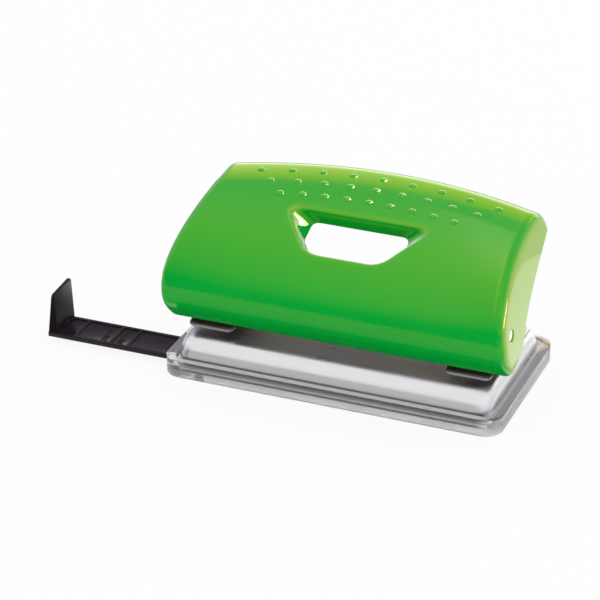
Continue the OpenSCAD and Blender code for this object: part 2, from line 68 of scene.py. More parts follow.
def newGroup(name, inputs, outputs):
    group = bpy.data.node_groups.new(name, "ShaderNodeTree")
    for label, kind, value in inputs:
        socket = group.interface.new_socket(name=label, in_out="INPUT", socket_type=kind)
        if value is not None:
            socket.default_value = value
    for label, kind in outputs:
        group.interface.new_socket(name=label, in_out="OUTPUT", socket_type=kind)
    return group, group.nodes.new("NodeGroupInput"), group.nodes.new("NodeGroupOutput")


def mapRange(nodes, links, value, low=0.0, high=1.0, span=(0.0, 1.0)):
    node = nodes.new("ShaderNodeMapRange")
    for label, limit in zip(("From Min", "From Max", "To Min", "To Max"), (*span, low, high)):
        node.inputs[label].default_value = limit
    links.new(value, node.inputs["Value"])
    return node.outputs["Result"]


def mathNode(nodes, links, operation, *values):
    node = addNode(nodes, "ShaderNodeMath", operation=operation)
    for k, value in enumerate(values):
        if isinstance(value, (int, float)):
            node.inputs[k].default_value = value
        else:
            links.new(value, node.inputs[k])
    return node.outputs[0]


# fine grain: moulded texture or rolled lines, by the stretch
def makeGrainGroup():
    group, ins, outs = newGroup("fineGrain",
        [("Vector", "NodeSocketVector", None), ("Scale", "NodeSocketFloat", 900.0),
         ("Stretch", "NodeSocketVector", (1, 1, 1))],
        [("Grain", "NodeSocketFloat"), ("Cloud", "NodeSocketFloat")])
    links = group.links
    stretch = addNode(group.nodes, "ShaderNodeVectorMath", operation="MULTIPLY")
    links.new(ins.outputs["Vector"], stretch.inputs[0])
    links.new(ins.outputs["Stretch"], stretch.inputs[1])
    fine = addNode(group.nodes, "ShaderNodeTexNoise", Detail=3.0, Roughness=0.6)
    links.new(stretch.outputs[0], fine.inputs["Vector"])
    links.new(ins.outputs["Scale"], fine.inputs["Scale"])
    coarse = addNode(group.nodes, "ShaderNodeTexNoise", Scale=55.0, Detail=2.0)
    links.new(ins.outputs["Vector"], coarse.inputs["Vector"])
    links.new(fine.outputs["Fac"], outs.inputs["Grain"])
    links.new(coarse.outputs["Fac"], outs.inputs["Cloud"])
    return group


# handling marks: soft smudges from fingers
def makeHandlingGroup():
    group, ins, outs = newGroup("handling",
        [("Vector", "NodeSocketVector", None), ("Size", "NodeSocketFloat", 70.0)], [("Smudge", "NodeSocketFloat")])
    nodes, links = group.nodes, group.links
    cloud = addNode(nodes, "ShaderNodeTexNoise", Detail=4.0, Roughness=0.55, Distortion=0.4)
    links.new(ins.outputs["Vector"], cloud.inputs["Vector"])
    links.new(ins.outputs["Size"], cloud.inputs["Scale"])
    links.new(mapRange(nodes, links, cloud.outputs["Fac"], span=(0.45, 0.75)), outs.inputs["Smudge"])
    return group


grainGroup = makeGrainGroup()
handlingGroup = makeHandlingGroup()


# places both groups in a material and returns their outputs
def surfaceDetail(nodes, links, scale, stretch, smudgeSize):
    coords = nodes.new("ShaderNodeTexCoord")
    grain = addNode(nodes, "ShaderNodeGroup", node_tree=grainGroup)
    grain.inputs["Scale"].default_value = scale
    grain.inputs["Stretch"].default_value = stretch
    marks = addNode(nodes, "ShaderNodeGroup", node_tree=handlingGroup)
    marks.inputs["Size"].default_value = smudgeSize
    links.new(coords.outputs["Object"], grain.inputs["Vector"])
    links.new(coords.outputs["Object"], marks.inputs["Vector"])
    return coords, grain, marks


def mixColour(nodes, links, fac, first, second):
    mix = addNode(nodes, "ShaderNodeMix", data_type="RGBA")
    for socket, value in ((6, first), (7, second)):
        if isinstance(value, tuple):
            mix.inputs[socket].default_value = value
        else:
            links.new(value, mix.inputs[socket])
    links.new(fac, mix.inputs[0])
    return mix.outputs[2]


# x, y and z in the part's frame
def objectAxes(nodes, links, coords):
    split = nodes.new("ShaderNodeSeparateXYZ")
    links.new(coords.outputs["Object"], split.inputs[0])
    return split.outputs


def addBump(nodes, links, bsdf, height, strength, distance):
    bump = addNode(nodes, "ShaderNodeBump", Strength=strength, Distance=distance)
    links.new(height, bump.inputs["Height"])
    links.new(bump.outputs["Normal"], bsdf.inputs["Normal"])


# gloss green moulding; the end faces and the hand hole's rim take a painted highlight, and the upper part a painted
# lit tone
greenLook = {"deep": (0.0012, 0.372, 0.040, 1), "body": (0.0025, 0.395, 0.042, 1), "lit": (0.34, 0.50, 0.10, 1),
             "high": (0.0015, 0.365, 0.022, 1), "paintedLitFrom": (0.030, 0.048), "tint": (1.0, 0.5, 0.06, 1),
             "rough": (0.09, 0.15)}


def makeGreen():
    mat, nodes, links, bsdf = newMaterial("greenPlastic")
    coords, grain, marks = surfaceDetail(nodes, links, 1400.0, (1, 1, 1), 60.0)
    base = mixColour(nodes, links, grain.outputs["Cloud"], greenLook["deep"], greenLook["body"])
    # painted light: above this height the green turns yellower, as the lit crest looks
    high = mapRange(nodes, links, objectAxes(nodes, links, coords)["Z"], span=greenLook["paintedLitFrom"])
    base = mixColour(nodes, links, high, base, greenLook["high"])
    # painted highlight: the end faces and the hole's rim are mixed towards the pale lit green
    glow = addNode(nodes, "ShaderNodeAttribute", attribute_name="paintedEdgeHighlight")
    base = mixColour(nodes, links, glow.outputs["Fac"], base, greenLook["lit"])
    links.new(base, bsdf.inputs["Base Color"])
    links.new(mapRange(nodes, links, marks.outputs["Smudge"], *greenLook["rough"]), bsdf.inputs["Roughness"])
    bsdf.inputs["IOR"].default_value = 1.5
    bsdf.inputs["Specular Tint"].default_value = greenLook["tint"]
    addBump(nodes, links, bsdf, grain.outputs["Grain"], 0.05, 0.00003)
    return mat


# skirt: painted shade, a darker colour low down except at the ends, where the skirt sits in shade inside the tray;
# lighter: a lighter colour by attribute
def makeSteel(name, colour, metal, rough, scale, stretch, bump, skirt=None, lighter=None):
    mat, nodes, links, bsdf = newMaterial(name)
    coords, grain, marks = surfaceDetail(nodes, links, scale, stretch, 45.0)
    darker = tuple(c * 0.88 for c in colour[:3]) + (1,)
    base = mixColour(nodes, links, grain.outputs["Grain"], darker, colour)
    # painted shade on the skirt low down
    if skirt:
        axes = objectAxes(nodes, links, coords)
        low = mapRange(nodes, links, axes["Z"], span=skirt["fade"])
        end = mapRange(nodes, links, mathNode(nodes, links, "ABSOLUTE", axes["X"]), span=skirt["end"])
        base = mixColour(nodes, links, mathNode(nodes, links, "MAXIMUM", low, end), skirt["colour"], base)
    if lighter:
        # lighter colour where the attribute is set: on the lips a painted highlight
        edge = addNode(nodes, "ShaderNodeAttribute", attribute_name="lighterMask")
        base = mixColour(nodes, links, edge.outputs["Fac"], base, lighter)
    links.new(base, bsdf.inputs["Base Color"])
    rolled = mapRange(nodes, links, grain.outputs["Grain"], *rough)
    links.new(mathNode(nodes, links, "MULTIPLY_ADD", marks.outputs["Smudge"], 0.06, rolled), bsdf.inputs["Roughness"])
    bsdf.inputs["Metallic"].default_value = metal
    addBump(nodes, links, bsdf, grain.outputs["Grain"], bump, 0.00005)
    return mat


# frosted wall: height in mm and colour; painted shade bands stand in for the steel skirt and the step behind the
# wall, and a painted shade line runs along its foot
frostPale, frostShadeLine = (0.98, 0.96, 0.97, 1), (0.10, 0.09, 0.10, 1)
frostShadeBands = [(0.0, frostPale), (0.02, frostPale), (0.04, frostShadeLine), (0.3, (0.16, 0.15, 0.16, 1)), (0.5, frostPale),
              (2.4, frostPale), (2.65, (0.05, 0.05, 0.065, 1)), (3.1, (0.06, 0.06, 0.075, 1)),
              (3.4, (0.40, 0.38, 0.36, 1)), (4.8, (0.44, 0.43, 0.42, 1)), (5.2, (0.36, 0.39, 0.39, 1))]
# clear ends, with painted shade on the rim on the right
frostEnd = {"from": (0.0455, 0.0505), "wall": (0.95, 0.98, 1.0, 1), "rim": (0.16, 0.16, 0.17, 1),
            "rimFrom": (0.0050, 0.0052), "right": (0.0, 0.01)}


def makeFrosted():
    mat, nodes, links, bsdf = newMaterial("frostedPlastic")
    coords, grain, marks = surfaceDetail(nodes, links, 500.0, (1, 1, 1), 50.0)
    axes = objectAxes(nodes, links, coords)
    top = frostShadeBands[-1][0] * mm
    # painted shade: colour bands by height
    bands = nodes.new("ShaderNodeValToRGB")
    links.new(mapRange(nodes, links, axes["Z"], span=(0.0, top)), bands.inputs["Fac"])
    stops = bands.color_ramp.elements
    while len(stops) < len(frostShadeBands):
        stops.new(0.5)
    for stop, (z, colour) in zip(stops, frostShadeBands):
        stop.position, stop.color = z * mm / top, colour
    # painted shade on the right end's rim
    rim = mapRange(nodes, links, axes["Z"], span=frostEnd["rimFrom"])
    right = mapRange(nodes, links, axes["X"], span=frostEnd["right"])
    end = mapRange(nodes, links, mathNode(nodes, links, "ABSOLUTE", axes["X"]), span=frostEnd["from"])
    dark = mathNode(nodes, links, "MULTIPLY", right, rim)
    endColour = mixColour(nodes, links, dark, frostEnd["wall"], frostEnd["rim"])
    links.new(mixColour(nodes, links, end, bands.outputs["Color"], endColour), bsdf.inputs["Base Color"])
    links.new(mapRange(nodes, links, marks.outputs["Smudge"], 0.08, 0.14), bsdf.inputs["Roughness"])
    bsdf.inputs["Transmission Weight"].default_value = 0.85
    bsdf.inputs["IOR"].default_value = 1.4
    addBump(nodes, links, bsdf, grain.outputs["Grain"], 0.02, 0.00002)
    return mat


def makeBlack():
    mat, nodes, links, bsdf = newMaterial("blackPlastic")
    coords, grain, marks = surfaceDetail(nodes, links, 1200.0, (1, 1, 1), 80.0)
    base = mixColour(nodes, links, marks.outputs["Smudge"], (0.009, 0.006, 0.008, 1), (0.015, 0.011, 0.013, 1))
    links.new(base, bsdf.inputs["Base Color"])
    links.new(mapRange(nodes, links, marks.outputs["Smudge"], 0.2, 0.3), bsdf.inputs["Roughness"])
    bsdf.inputs["IOR"].default_value = 1.3
    addBump(nodes, links, bsdf, grain.outputs["Grain"], 0.06, 0.00003)
    return mat


greenPlastic = makeGreen()
# the base's skirt colour is painted shade inside the tray
baseSteel = makeSteel("baseSteel", (0.74, 0.74, 0.75, 1), 1.0, (0.24, 0.34), 700.0, (0.06, 1, 1), 0.05,
                      {"fade": (0.0050, 0.0060), "end": (0.0462, 0.0485), "colour": (0.085, 0.078, 0.073, 1)})
# dark steel with a lighter colour that paints the lips' edge highlight and lightens the punch heads' feet
darkSteel = makeSteel("darkSteel", (0.055, 0.048, 0.048, 1), 0.6, (0.24, 0.34), 900.0, (1, 1, 1), 0.08,
                      lighter=(0.62, 0.61, 0.60, 1))
brightSteel = makeSteel("brightSteel", (0.82, 0.82, 0.84, 1), 1.0, (0.16, 0.26), 1200.0, (1, 1, 0.2), 0.05)
hardSteel = makeSteel("hardSteel", (0.56, 0.56, 0.58, 1), 1.0, (0.25, 0.36), 1300.0, (1, 1, 0.15), 0.08)
bushBrass = makeSteel("bushBrass", (0.72, 0.53, 0.24, 1), 1.0, (0.22, 0.34), 1300.0, (1, 1, 0.15), 0.08)
frostedPlastic = makeFrosted()
blackPlastic = makeBlack()
print("materials made")


# mesh helpers

def finishMesh(name, bm, material, sharp=32.0, recalc=True):
    bmesh.ops.remove_doubles(bm, verts=bm.verts, dist=2e-6)
    bmesh.ops.dissolve_degenerate(bm, dist=1e-7, edges=bm.edges)
    if recalc:
        bmesh.ops.recalc_face_normals(bm, faces=bm.faces)
    mesh = bpy.data.meshes.new(name)
    bm.to_mesh(mesh)
    bm.free()
    mesh.polygons.foreach_set("use_smooth", [True] * len(mesh.polygons))
    mesh.set_sharp_from_angle(angle=math.radians(sharp))
    mesh.materials.append(material)
    obj = bpy.data.objects.new(name, mesh)
    bpy.context.scene.collection.objects.link(obj)
    return obj


def baked(obj):
    bpy.context.view_layer.update()
    done = bpy.data.meshes.new_from_object(obj.evaluated_get(bpy.context.evaluated_depsgraph_get()))
    old = obj.data
    obj.modifiers.clear()
    obj.data = done
    bpy.data.meshes.remove(old)
    return obj


def onBody(obj, body, slot, *nodes):
    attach(obj, body)
    if nodes:
        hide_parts(*nodes)
    return obj


# grids of points become quads; closed joins the last column to the first
def addGrid(bm, points, closed=False, skip=None):
    rows, cols = points.shape[:2]
    verts = [[bm.verts.new(points[i, j]) for j in range(cols)] for i in range(rows)]
    for i in range(rows - 1):
        for j in range(cols if closed else cols - 1):
            if skip is not None and skip(i, j):
                continue
            k = (j + 1) % cols
            bm.faces.new((verts[i][j], verts[i][k], verts[i + 1][k], verts[i + 1][j]))


# camera and stage

# fitted to the tray's edges and the lever's symmetric features
photoView = {"lens": 172.53, "sensor": 36.0, "far": 50.0, "place": (0.26092, -0.70499, 0.41194),
             "look": (-0.3274, 0.8248, -0.4610)}


def addCamera():
    data = bpy.data.cameras.new("photoCamera")
    data.lens = photoView["lens"]
    data.sensor_width = photoView["sensor"]
    data.clip_end = photoView["far"]
    obj = bpy.data.objects.new("photoCamera", data)
    bpy.context.scene.collection.objects.link(obj)
    obj.location = photoView["place"]
    obj.rotation_euler = Vector(photoView["look"]).to_track_quat("-Z", "Y").to_euler()
    bpy.context.scene.camera = obj


studio = {"floor": 8.0, "worldLevel": 1.0, "floorShare": 0.9, "target": (0.0, 0.0, 0.03)}
# lamps: place, size and power
softboxes = {"topBox": ((0.1, 0.75, 1.5), 1.3, 2.0), "sideBox": ((1.5, -0.2, 0.9), 0.8, 3.0)}
sweep = {"out": (-0.37, -0.93), "halfWidth": 3.2, "radius": 2.6,
         "angles": [0, 4, 20, 40, 57, 70, 90, 102, 108, 118, 125, 138, 176],
         "levels": [0.0, 0.02, 0.35, 0.85, 1.1, 1.35, 1.6, 1.5, 1.4, 1.05, 0.78, 0.7, 0.7]}
# ceiling close above with the sweep's levels, brighter for points further right on the lever
ceiling = {"z": 0.3, "x": (-0.6, 0.03), "y": (-1.2, 0.26), "slant": -0.31,
           "at": [-0.03, 0.0, 0.026, 0.045, 0.06, 0.11], "gain": [1.0, 1.08, 1.3, 2.2, 2.4, 1.0]}
# ground in front: distance and level, dark far out and soft near the punch
ground = [(3.0, 0.0), (0.0695, 0.0), (0.0685, 0.78), (0.055, 0.7), (0.042, 0.5), (0.032, 0.3), (0.0275, 0.1)]
# warm wall behind, seen in the crest: elevation and colour
backWall = {"azimuth": (-36, 34), "fade": (8, 12),
            "rows": [(37.8, (1.7, 1.5, 0.3)), (33, (2.6, 2.2, 0.5)), (30, (3.2, 2.7, 1.0)),
                     (27, (4.0, 3.1, 2.0)), (24, (4.4, 3.5, 2.7)), (6, (4.6, 3.8, 3.2))]}
# small bright boxes: azimuth from +Y to +X and elevation in degrees, and level
kickers = {"holeKick": ((20, 52), (17, 50), 5.0), "edgeKick": ((50, 90), (6, 12), 28.0)}
# flat cards near the punch: two corners, colour, and whether only one side shows
flags = {"underFlag": ((-0.052, -0.0165, 0.020), (0.052, 0.045, 0.020), (0.065, 0.065, 0.063), False),
         "shoulderFlag": ((0.052, -0.034, 0.0135), (-0.052, -0.0195, 0.0135), (1.07, 1.07, 1.08), True),
         "hemFlag": ((-0.052, -0.0285, 0.0125), (0.052, -0.010, 0.0125), (0.0, 0.0, 0.0), True),
         "guideFlag": ((-0.125, 0.012, 0.007), (-0.051, 0.012, 0.050), (0.45, 0.40, 0.52), False),
         "edgeFlag": ((0.064, 0.060, 0.024), (0.165, 0.060, 0.200), (1.0, 1.0, 1.0), False),
         "baseFlag": ((0.058, -0.040, 0.003), (0.058, 0.050, 0.0125), (0.8, 0.8, 0.82), False),
         "holeShade": ((-0.009, 0.025, 0.038), (-0.009, 0.000, 0.049), (0.03, 0.30, 0.035), True),
         "holeLight": ((0.010, 0.052, 0.061), (0.010, 0.010, 0.100), (20.0, 28.0, 44.0), True),
         "lowBounce": ((-0.065, -0.040, 0.0005), (0.065, -0.040, 0.0135), (0.6, 0.6, 0.61), False),
         "sideBounce": ((0.056, -0.15, 0.0004), (0.36, 0.26, 0.0004), (1.7, 1.7, 1.7), False)}


def addWorld():
    scene = bpy.context.scene
    scene.view_settings.view_transform = "Standard"
    world = bpy.data.worlds.new("studioWorld")
    scene.world = world
    world.use_nodes = True
    nodes, links = world.node_tree.nodes, world.node_tree.links
    back = nodes["Background"]
    back.inputs["Color"].default_value = (1, 1, 1, 1)
    links.new(mapRange(nodes, links, lightPathMask(nodes, links), studio["worldLevel"]), back.inputs["Strength"])


def addFloor():
    bm = bmesh.new()
    bmesh.ops.create_grid(bm, x_segments=1, y_segments=1, size=studio["floor"])
    bmesh.ops.translate(bm, vec=(0, 0, -0.0003), verts=bm.verts)
    mat, nodes, links, bsdf = newMaterial("whiteFloor")
    bsdf.inputs["Base Color"].default_value = (0.86, 0.86, 0.86, 1)
    bsdf.inputs["Roughness"].default_value = 0.9
    bsdf.inputs["Specular IOR Level"].default_value = 0.0
    glow = addNode(nodes, "ShaderNodeEmission", Strength=1.0)
    mix = nodes.new("ShaderNodeMixShader")
    share = mathNode(nodes, links, "MULTIPLY", lightPathMask(nodes, links), studio["floorShare"])
    links.new(share, mix.inputs[0])
    links.new(bsdf.outputs[0], mix.inputs[1])
    links.new(glow.outputs[0], mix.inputs[2])
    links.new(mix.outputs[0], nodes["Material Output"].inputs["Surface"])
    finishMesh("floor", bm, mat, recalc=False)


# cards seen only by reflections, each point with its own colour
def addCard(name, points, colours, oneSided=False):
    bm = bmesh.new()
    addGrid(bm, points)
    mat, nodes, links, bsdf = newMaterial(name)
    glow = addNode(nodes, "ShaderNodeAttribute", attribute_name="glow")
    shine = nodes.new("ShaderNodeEmission")
    links.new(glow.outputs["Color"], shine.inputs["Color"])
    links.new(shine.outputs[0], nodes["Material Output"].inputs["Surface"])
    if oneSided:
        mix, clear = nodes.new("ShaderNodeMixShader"), nodes.new("ShaderNodeBsdfTransparent")
        links.new(nodes.new("ShaderNodeNewGeometry").outputs["Backfacing"], mix.inputs[0])
        links.new(shine.outputs[0], mix.inputs[1])
        links.new(clear.outputs[0], mix.inputs[2])
        links.new(mix.outputs[0], nodes["Material Output"].inputs["Surface"])
    mesh = bpy.data.meshes.new(name)
    bm.to_mesh(mesh)
    bm.free()
    values = mesh.attributes.new("glow", "FLOAT_COLOR", "POINT")
    full = np.ones((len(mesh.vertices), 4), np.float32)
    full[:, :3] = colours
    values.data.foreach_set("color", full.ravel())
    mesh.materials.append(mat)
    card = bpy.data.objects.new(name, mesh)
    bpy.context.scene.collection.objects.link(card)
    for ray in ("camera", "diffuse", "transmission", "shadow", "volume_scatter"):
        setattr(card, "visible_" + ray, False)


def ballPoint(azimuth, elevation, radius):
    turn, lift = np.broadcast_arrays(np.radians(azimuth), np.radians(elevation))
    return radius * np.stack([np.sin(turn) * np.cos(lift), np.cos(turn) * np.cos(lift), np.sin(lift)], -1)


# sweep from the ground in front over the punch: dark low down, brighter overhead
def addSweep():
    out = np.array(sweep["out"]) / np.linalg.norm(sweep["out"])
    side = np.array([-out[1], out[0]])
    rise = np.radians(np.linspace(0, 176, 89))
    reach, height = sweep["radius"] * np.cos(rise), 0.0004 + sweep["radius"] * np.sin(rise)
    across = np.linspace(-1, 1, 9) * sweep["halfWidth"]
    points = np.zeros((len(reach), len(across), 3))
    points[..., :2] = reach[:, None, None] * out + across[None, :, None] * side
    points[..., 2] = height[:, None]
    level = np.interp(np.degrees(rise), sweep["angles"], sweep["levels"])
    addCard("sweepCard", points, np.repeat(level, len(across))[:, None])
    x, y = np.meshgrid(np.linspace(*ceiling["x"], 64), np.linspace(*ceiling["y"], 74))
    rise = ceiling["z"] - 0.045
    shift = ceiling["slant"] * np.hypot(rise, y)
    angle = np.degrees(np.arctan2(rise, shift * out[0] + y * out[1]))
    level = np.interp(angle, sweep["angles"], sweep["levels"]) * np.interp(x - shift, ceiling["at"], ceiling["gain"])
    addCard("ceilingCard", np.stack([x, y, np.full(x.shape, ceiling["z"])], -1), level.reshape(-1, 1))
    points = np.array([[(x, -y, 0.0004) for x in (-3.0, 3.0)] for y, level in ground])
    addCard("groundCard", points, np.repeat([level for y, level in ground], 2)[:, None])


def addCards():
    left, right = backWall["azimuth"]
    turn = np.linspace(left, right, 29)
    points = np.array([ballPoint(turn, lift, 1.8) for lift, colour in backWall["rows"]])
    near, far = backWall["fade"]
    fade = np.clip(np.minimum((turn - left) / near, (right - turn) / far), 0, 1)[:, None]
    colours = [sweep["levels"][-1] * (1 - fade) + np.array(colour) * fade for lift, colour in backWall["rows"]]
    addCard("backCard", points, np.concatenate(colours))
    for name, (azimuth, elevation, level) in kickers.items():
        turn, lift = np.meshgrid(np.linspace(*azimuth, 9), np.linspace(*elevation, 5))
        addCard(name + "Card", ballPoint(turn, lift, 1.5), np.full(3, level))
    for name, (low, high, colour, oneSided) in flags.items():
        first, second = [k for k in range(3) if low[k] != high[k]]
        points = np.array([[low, low], [low, low]])
        points[:, 1, first], points[1, :, second] = high[first], high[second]
        addCard(name + "Card", points, np.array(colour), oneSided)


def addStage():
    addWorld()
    addFloor()
    addSweep()
    addCards()
    for name, box in softboxes.items():
        addSoftbox(name, *box)


def lightPathMask(nodes, links):
    path = nodes.new("ShaderNodeLightPath").outputs
    direct = mathNode(nodes, links, "MAXIMUM", path["Is Camera Ray"], path["Is Glossy Ray"])
    return mathNode(nodes, links, "MAXIMUM", direct, path["Is Transmission Ray"])


def addSoftbox(name, place, size, power):
    data = bpy.data.lights.new(name, "AREA")
    data.shape = "SQUARE"
    data.size = size
    data.energy = power
    obj = bpy.data.objects.new(name, data)
    obj.visible_glossy = False
    bpy.context.scene.collection.objects.link(obj)
    obj.location = place
    obj.rotation_euler = (Vector(studio["target"]) - Vector(place)).to_track_quat("-Z", "Y").to_euler()


addCamera()
addStage()
print("camera and stage set")


# lever: one curved panel, its end walls and hand hole, in mm about the axle

lever = {"axle": (-19.2374, 29.4), "half": 53.6, "taper": 0.0048, "front": 7.0, "back": 35.0, "rise": 21.3,
         "drop": 13.3, "crownBack": 6.8, "crownUp": 1.5, "endRound": 2.7, "wall": 2.2, "bore": 2.05, "boss": 4.0,
         "bossLow": 47.5, "hemTop": 0.097, "hemHalf": 48.85, "hemDepth": 0.7, "rimBulge": 0.3}
hem = np.array([0.3, -lever["drop"]])
bulge = np.array([-lever["front"], 0.6])
ridge = np.array([lever["back"], lever["rise"]])
rearEdge = ridge + [7.3, -7.3]
lowCurve = np.array([hem, hem + [-4.8, 4.3], bulge - [0, 6.2], bulge])
highCurve = np.array([bulge, bulge + [0, 12.4], ridge - [21.5, 0.8], ridge])
rearCurve = np.array([ridge, ridge + [4.2, 0.2], rearEdge + [0.9, 4.6], rearEdge])
backHigh = np.array([rearEdge, rearEdge - [10.4, 4.6], [13.5, 1.8], [10.1, -7.5]])
backLow = np.array([[10.1, -7.5], [9.3, -9.7], [5.3, -11.5], hem])


def bezier(p, t):
    t = t[..., None]
    return (1 - t) ** 3 * p[0] + 3 * (1 - t) ** 2 * t * p[1] + 3 * (1 - t) * t * t * p[2] + t ** 3 * p[3]


def bezierSlope(p, t):
    t = t[..., None]
    return (1 - t) ** 2 * (p[1] - p[0]) + 2 * (1 - t) * t * (p[2] - p[1]) + t * t * (p[3] - p[2])


# outline point and outward normal at u: hem, bulge, ridge, rear edge
def frontAt(u):
    u = np.asarray(u, float)
    parts = ((lowCurve, 0.0, 0.27), (highCurve, 0.27, 0.53), (rearCurve, 0.8, 0.2))
    which = np.where(u < 0.27, 0, np.where(u < 0.8, 1, 2))
    q, d = np.zeros(u.shape + (2,)), np.zeros(u.shape + (2,))
    for k, (p, start, span) in enumerate(parts):
        t = (u - start) / span
        pick = (which == k)[..., None]
        q = np.where(pick, bezier(p, t), q)
        d = np.where(pick, bezierSlope(p, t), d)
    n = np.stack([-d[..., 1], d[..., 0]], -1)
    return q, n / np.linalg.norm(n, axis=-1, keepdims=True)


def backAt(v):
    q = np.where((v < 0.72)[..., None], bezier(backHigh, v / 0.72), bezier(backLow, (v - 0.72) / 0.28))
    return q


def leverHalf(z):
    return lever["half"] - lever["taper"] * np.maximum(z + 11.4, 0) ** 2


def smooth(t):
    t = np.clip(t, 0, 1)
    return t * t * (3 - 2 * t)


def skinPoint(s, u, depth, short):
    s, u = np.broadcast_arrays(np.asarray(s, float), np.asarray(u, float))
    q, n = frontAt(u)
    p = q - np.asarray(depth)[..., None] * n if np.ndim(depth) else q - depth * n
    c = smooth((q[..., 1] - bulge[1]) / (lever["rise"] - bulge[1] - 2)) * (1 - s * s)
    x = s * (leverHalf(p[..., 1]) - short)
    return np.stack([x, p[..., 0] + lever["crownBack"] * c, p[..., 1] + lever["crownUp"] * c], -1)


# shallow strip along the lower front edge, deepest at its top
def hemDepth(s, u):
    x = np.abs(s) * (lever["half"] - lever["endRound"])
    high = 1 - smooth((u - lever["hemTop"] + 0.004) / 0.008)
    end = 1 - smooth((x - lever["hemHalf"] + 0.25) / 0.5)
    return lever["hemDepth"] * np.minimum(u / lever["hemTop"], 1) * high * end


def outerSkin(s, u):
    s, u = np.broadcast_arrays(np.asarray(s, float), np.asarray(u, float))
    return skinPoint(s, u, hemDepth(s, u), lever["endRound"])


def innerSkin(s, u):
    return skinPoint(s, u, lever["wall"], lever["wall"])


handHole = {"tilt": math.radians(25), "mid": (14.2, 17.2), "depth": 4.6, "fillet": 1.5, "deep": 5.0, "thick": 1.8,
            "mouth": [(11.2, -10.7), (16.4, -3.3), (22.6, 5.3)], "neck": [(10.5, -10.0), (15.2, -3.3), (15.2, 4.2)],
            "mouthRound": [4.0, 1.5, 5.0], "neckRound": [3.0, 1.5, 2.2]}
# part of the skin around the hand hole that is meshed towards its edge: half of s, and u from and to
window = {"s": 0.5625, "u": (0.38, 0.70)}


# dense rounded outline of the hand hole at its mouth (share 0) or its neck (share 1)
def handOutline(share):
    right = np.array(handHole["mouth"]) * (1 - share) + np.array(handHole["neck"]) * share
    reach = np.array(handHole["mouthRound"]) * (1 - share) + np.array(handHole["neckRound"]) * share
    corners = np.concatenate([right, right[::-1] * [-1, 1]])
    rounds = np.concatenate([reach, reach[::-1]])
    points = []
    for i in range(6):
        p, a, b = corners[i], corners[i - 1], corners[(i + 1) % 6]
        f = p + (a - p) / np.linalg.norm(a - p) * rounds[i]
        g = p + (b - p) / np.linalg.norm(b - p) * rounds[i]
        h = b + (p - b) / np.linalg.norm(p - b) * rounds[(i + 1) % 6]
        for t in np.linspace(0, 1, 16, endpoint=False):
            points.append((1 - t) ** 2 * f + 2 * t * (1 - t) * p + t * t * g)
        for t in np.linspace(0, 1, 40, endpoint=False):
            points.append(g + (h - g) * t)
    return np.array(points)


def handPoint(q, depth):
    c, s = math.cos(handHole["tilt"]), math.sin(handHole["tilt"])
    y0, z0 = handHole["mid"]
    return np.stack([q[:, 0], y0 + q[:, 1] * c + depth * s, z0 + q[:, 1] * s - depth * c], -1)


# where the hole's axis through q meets the skin: s, u and the depth
def meetSkin(q, depth, short):
    c, sn = math.cos(handHole["tilt"]), math.sin(handHole["tilt"])
    y0, z0 = handHole["mid"]
    low, high = np.full(len(q), 0.28), np.full(len(q), 0.79)
    for step in range(40):
        u = (low + high) / 2
        f, n = frontAt(u)
        s = q[:, 0] / (leverHalf(f[:, 1] - depth * n[:, 1]) - short)
        p = skinPoint(s, u, depth, short)
        along = (p[:, 1] - y0) * c + (p[:, 2] - z0) * sn
        low, high = np.where(along < q[:, 1], u, low), np.where(along < q[:, 1], high, u)
    return s, u, (p[:, 1] - y0) * sn - (p[:, 2] - z0) * c


# where the drafted wall meets a skin
def meetWall(outline, drift, depth, short):
    at = np.zeros(len(outline))
    for step in range(10):
        q = outline + drift * at[:, None]
        s, u, at = meetSkin(q, depth, short)
    return q, s, u, at


# grid lines of the skin, closer together at the edges of the hem strip
sLines = np.unique(np.round(np.concatenate([np.linspace(-1, 1, 129),
    [k * e for k in (-1, 1) for e in (0.9525, 0.955, 0.9575, 0.962, 0.9645, 0.967)]]), 5))
uLines = np.unique(np.round(np.concatenate([np.linspace(0, 0.09, 7), [0.0925, 0.095, 0.0975, 0.1, 0.1025],
    np.linspace(0.11, 0.74, 64), np.linspace(0.75, 1, 34)]), 5))


def windowLines():
    left, right = (np.argmin(abs(sLines - k * window["s"])) for k in (-1, 1))
    low, high = (np.argmin(abs(uLines - u)) for u in window["u"])
    return left, right, low, high


def windowLoop():
    left, right, low, high = windowLines()
    loop = [(j, low) for j in range(left, right)] + [(right, i) for i in range(low, high)]
    loop += [(j, high) for j in range(right, left, -1)] + [(left, i) for i in range(high, low, -1)]
    return np.array([sLines[j] for j, i in loop]), np.array([uLines[i] for j, i in loop])


# outline points, normals and drift matched to the window's loop by angle
def matchOutline(s, u):
    dense = handOutline(0.0)
    drift = (handOutline(1.0) - dense) / handHole["depth"]
    slope = np.roll(dense, -1, 0) - np.roll(dense, 1, 0)
    normal = np.stack([slope[:, 1], -slope[:, 0]], -1) / np.linalg.norm(slope, axis=1, keepdims=True)
    q, ds, du, at = meetWall(dense, drift, 0.0, lever["endRound"])
    mid = (u.min() + u.max()) / 2
    half = (u.max() - u.min()) / 2
    ring = np.unwrap(np.arctan2((du - mid) / half, ds / window["s"]))
    want = np.arctan2((u - mid) / half, s / window["s"])
    want = ring[0] + np.mod(want - ring[0], 2 * math.pi)
    index = np.interp(want, np.append(ring, ring[0] + 2 * math.pi), np.arange(len(ring) + 1))
    i, f = np.floor(index).astype(int) % len(dense), (index - np.floor(index))[:, None]
    j = (i + 1) % len(dense)
    return [a[i] * (1 - f) + a[j] * f for a in (dense, normal, drift)]


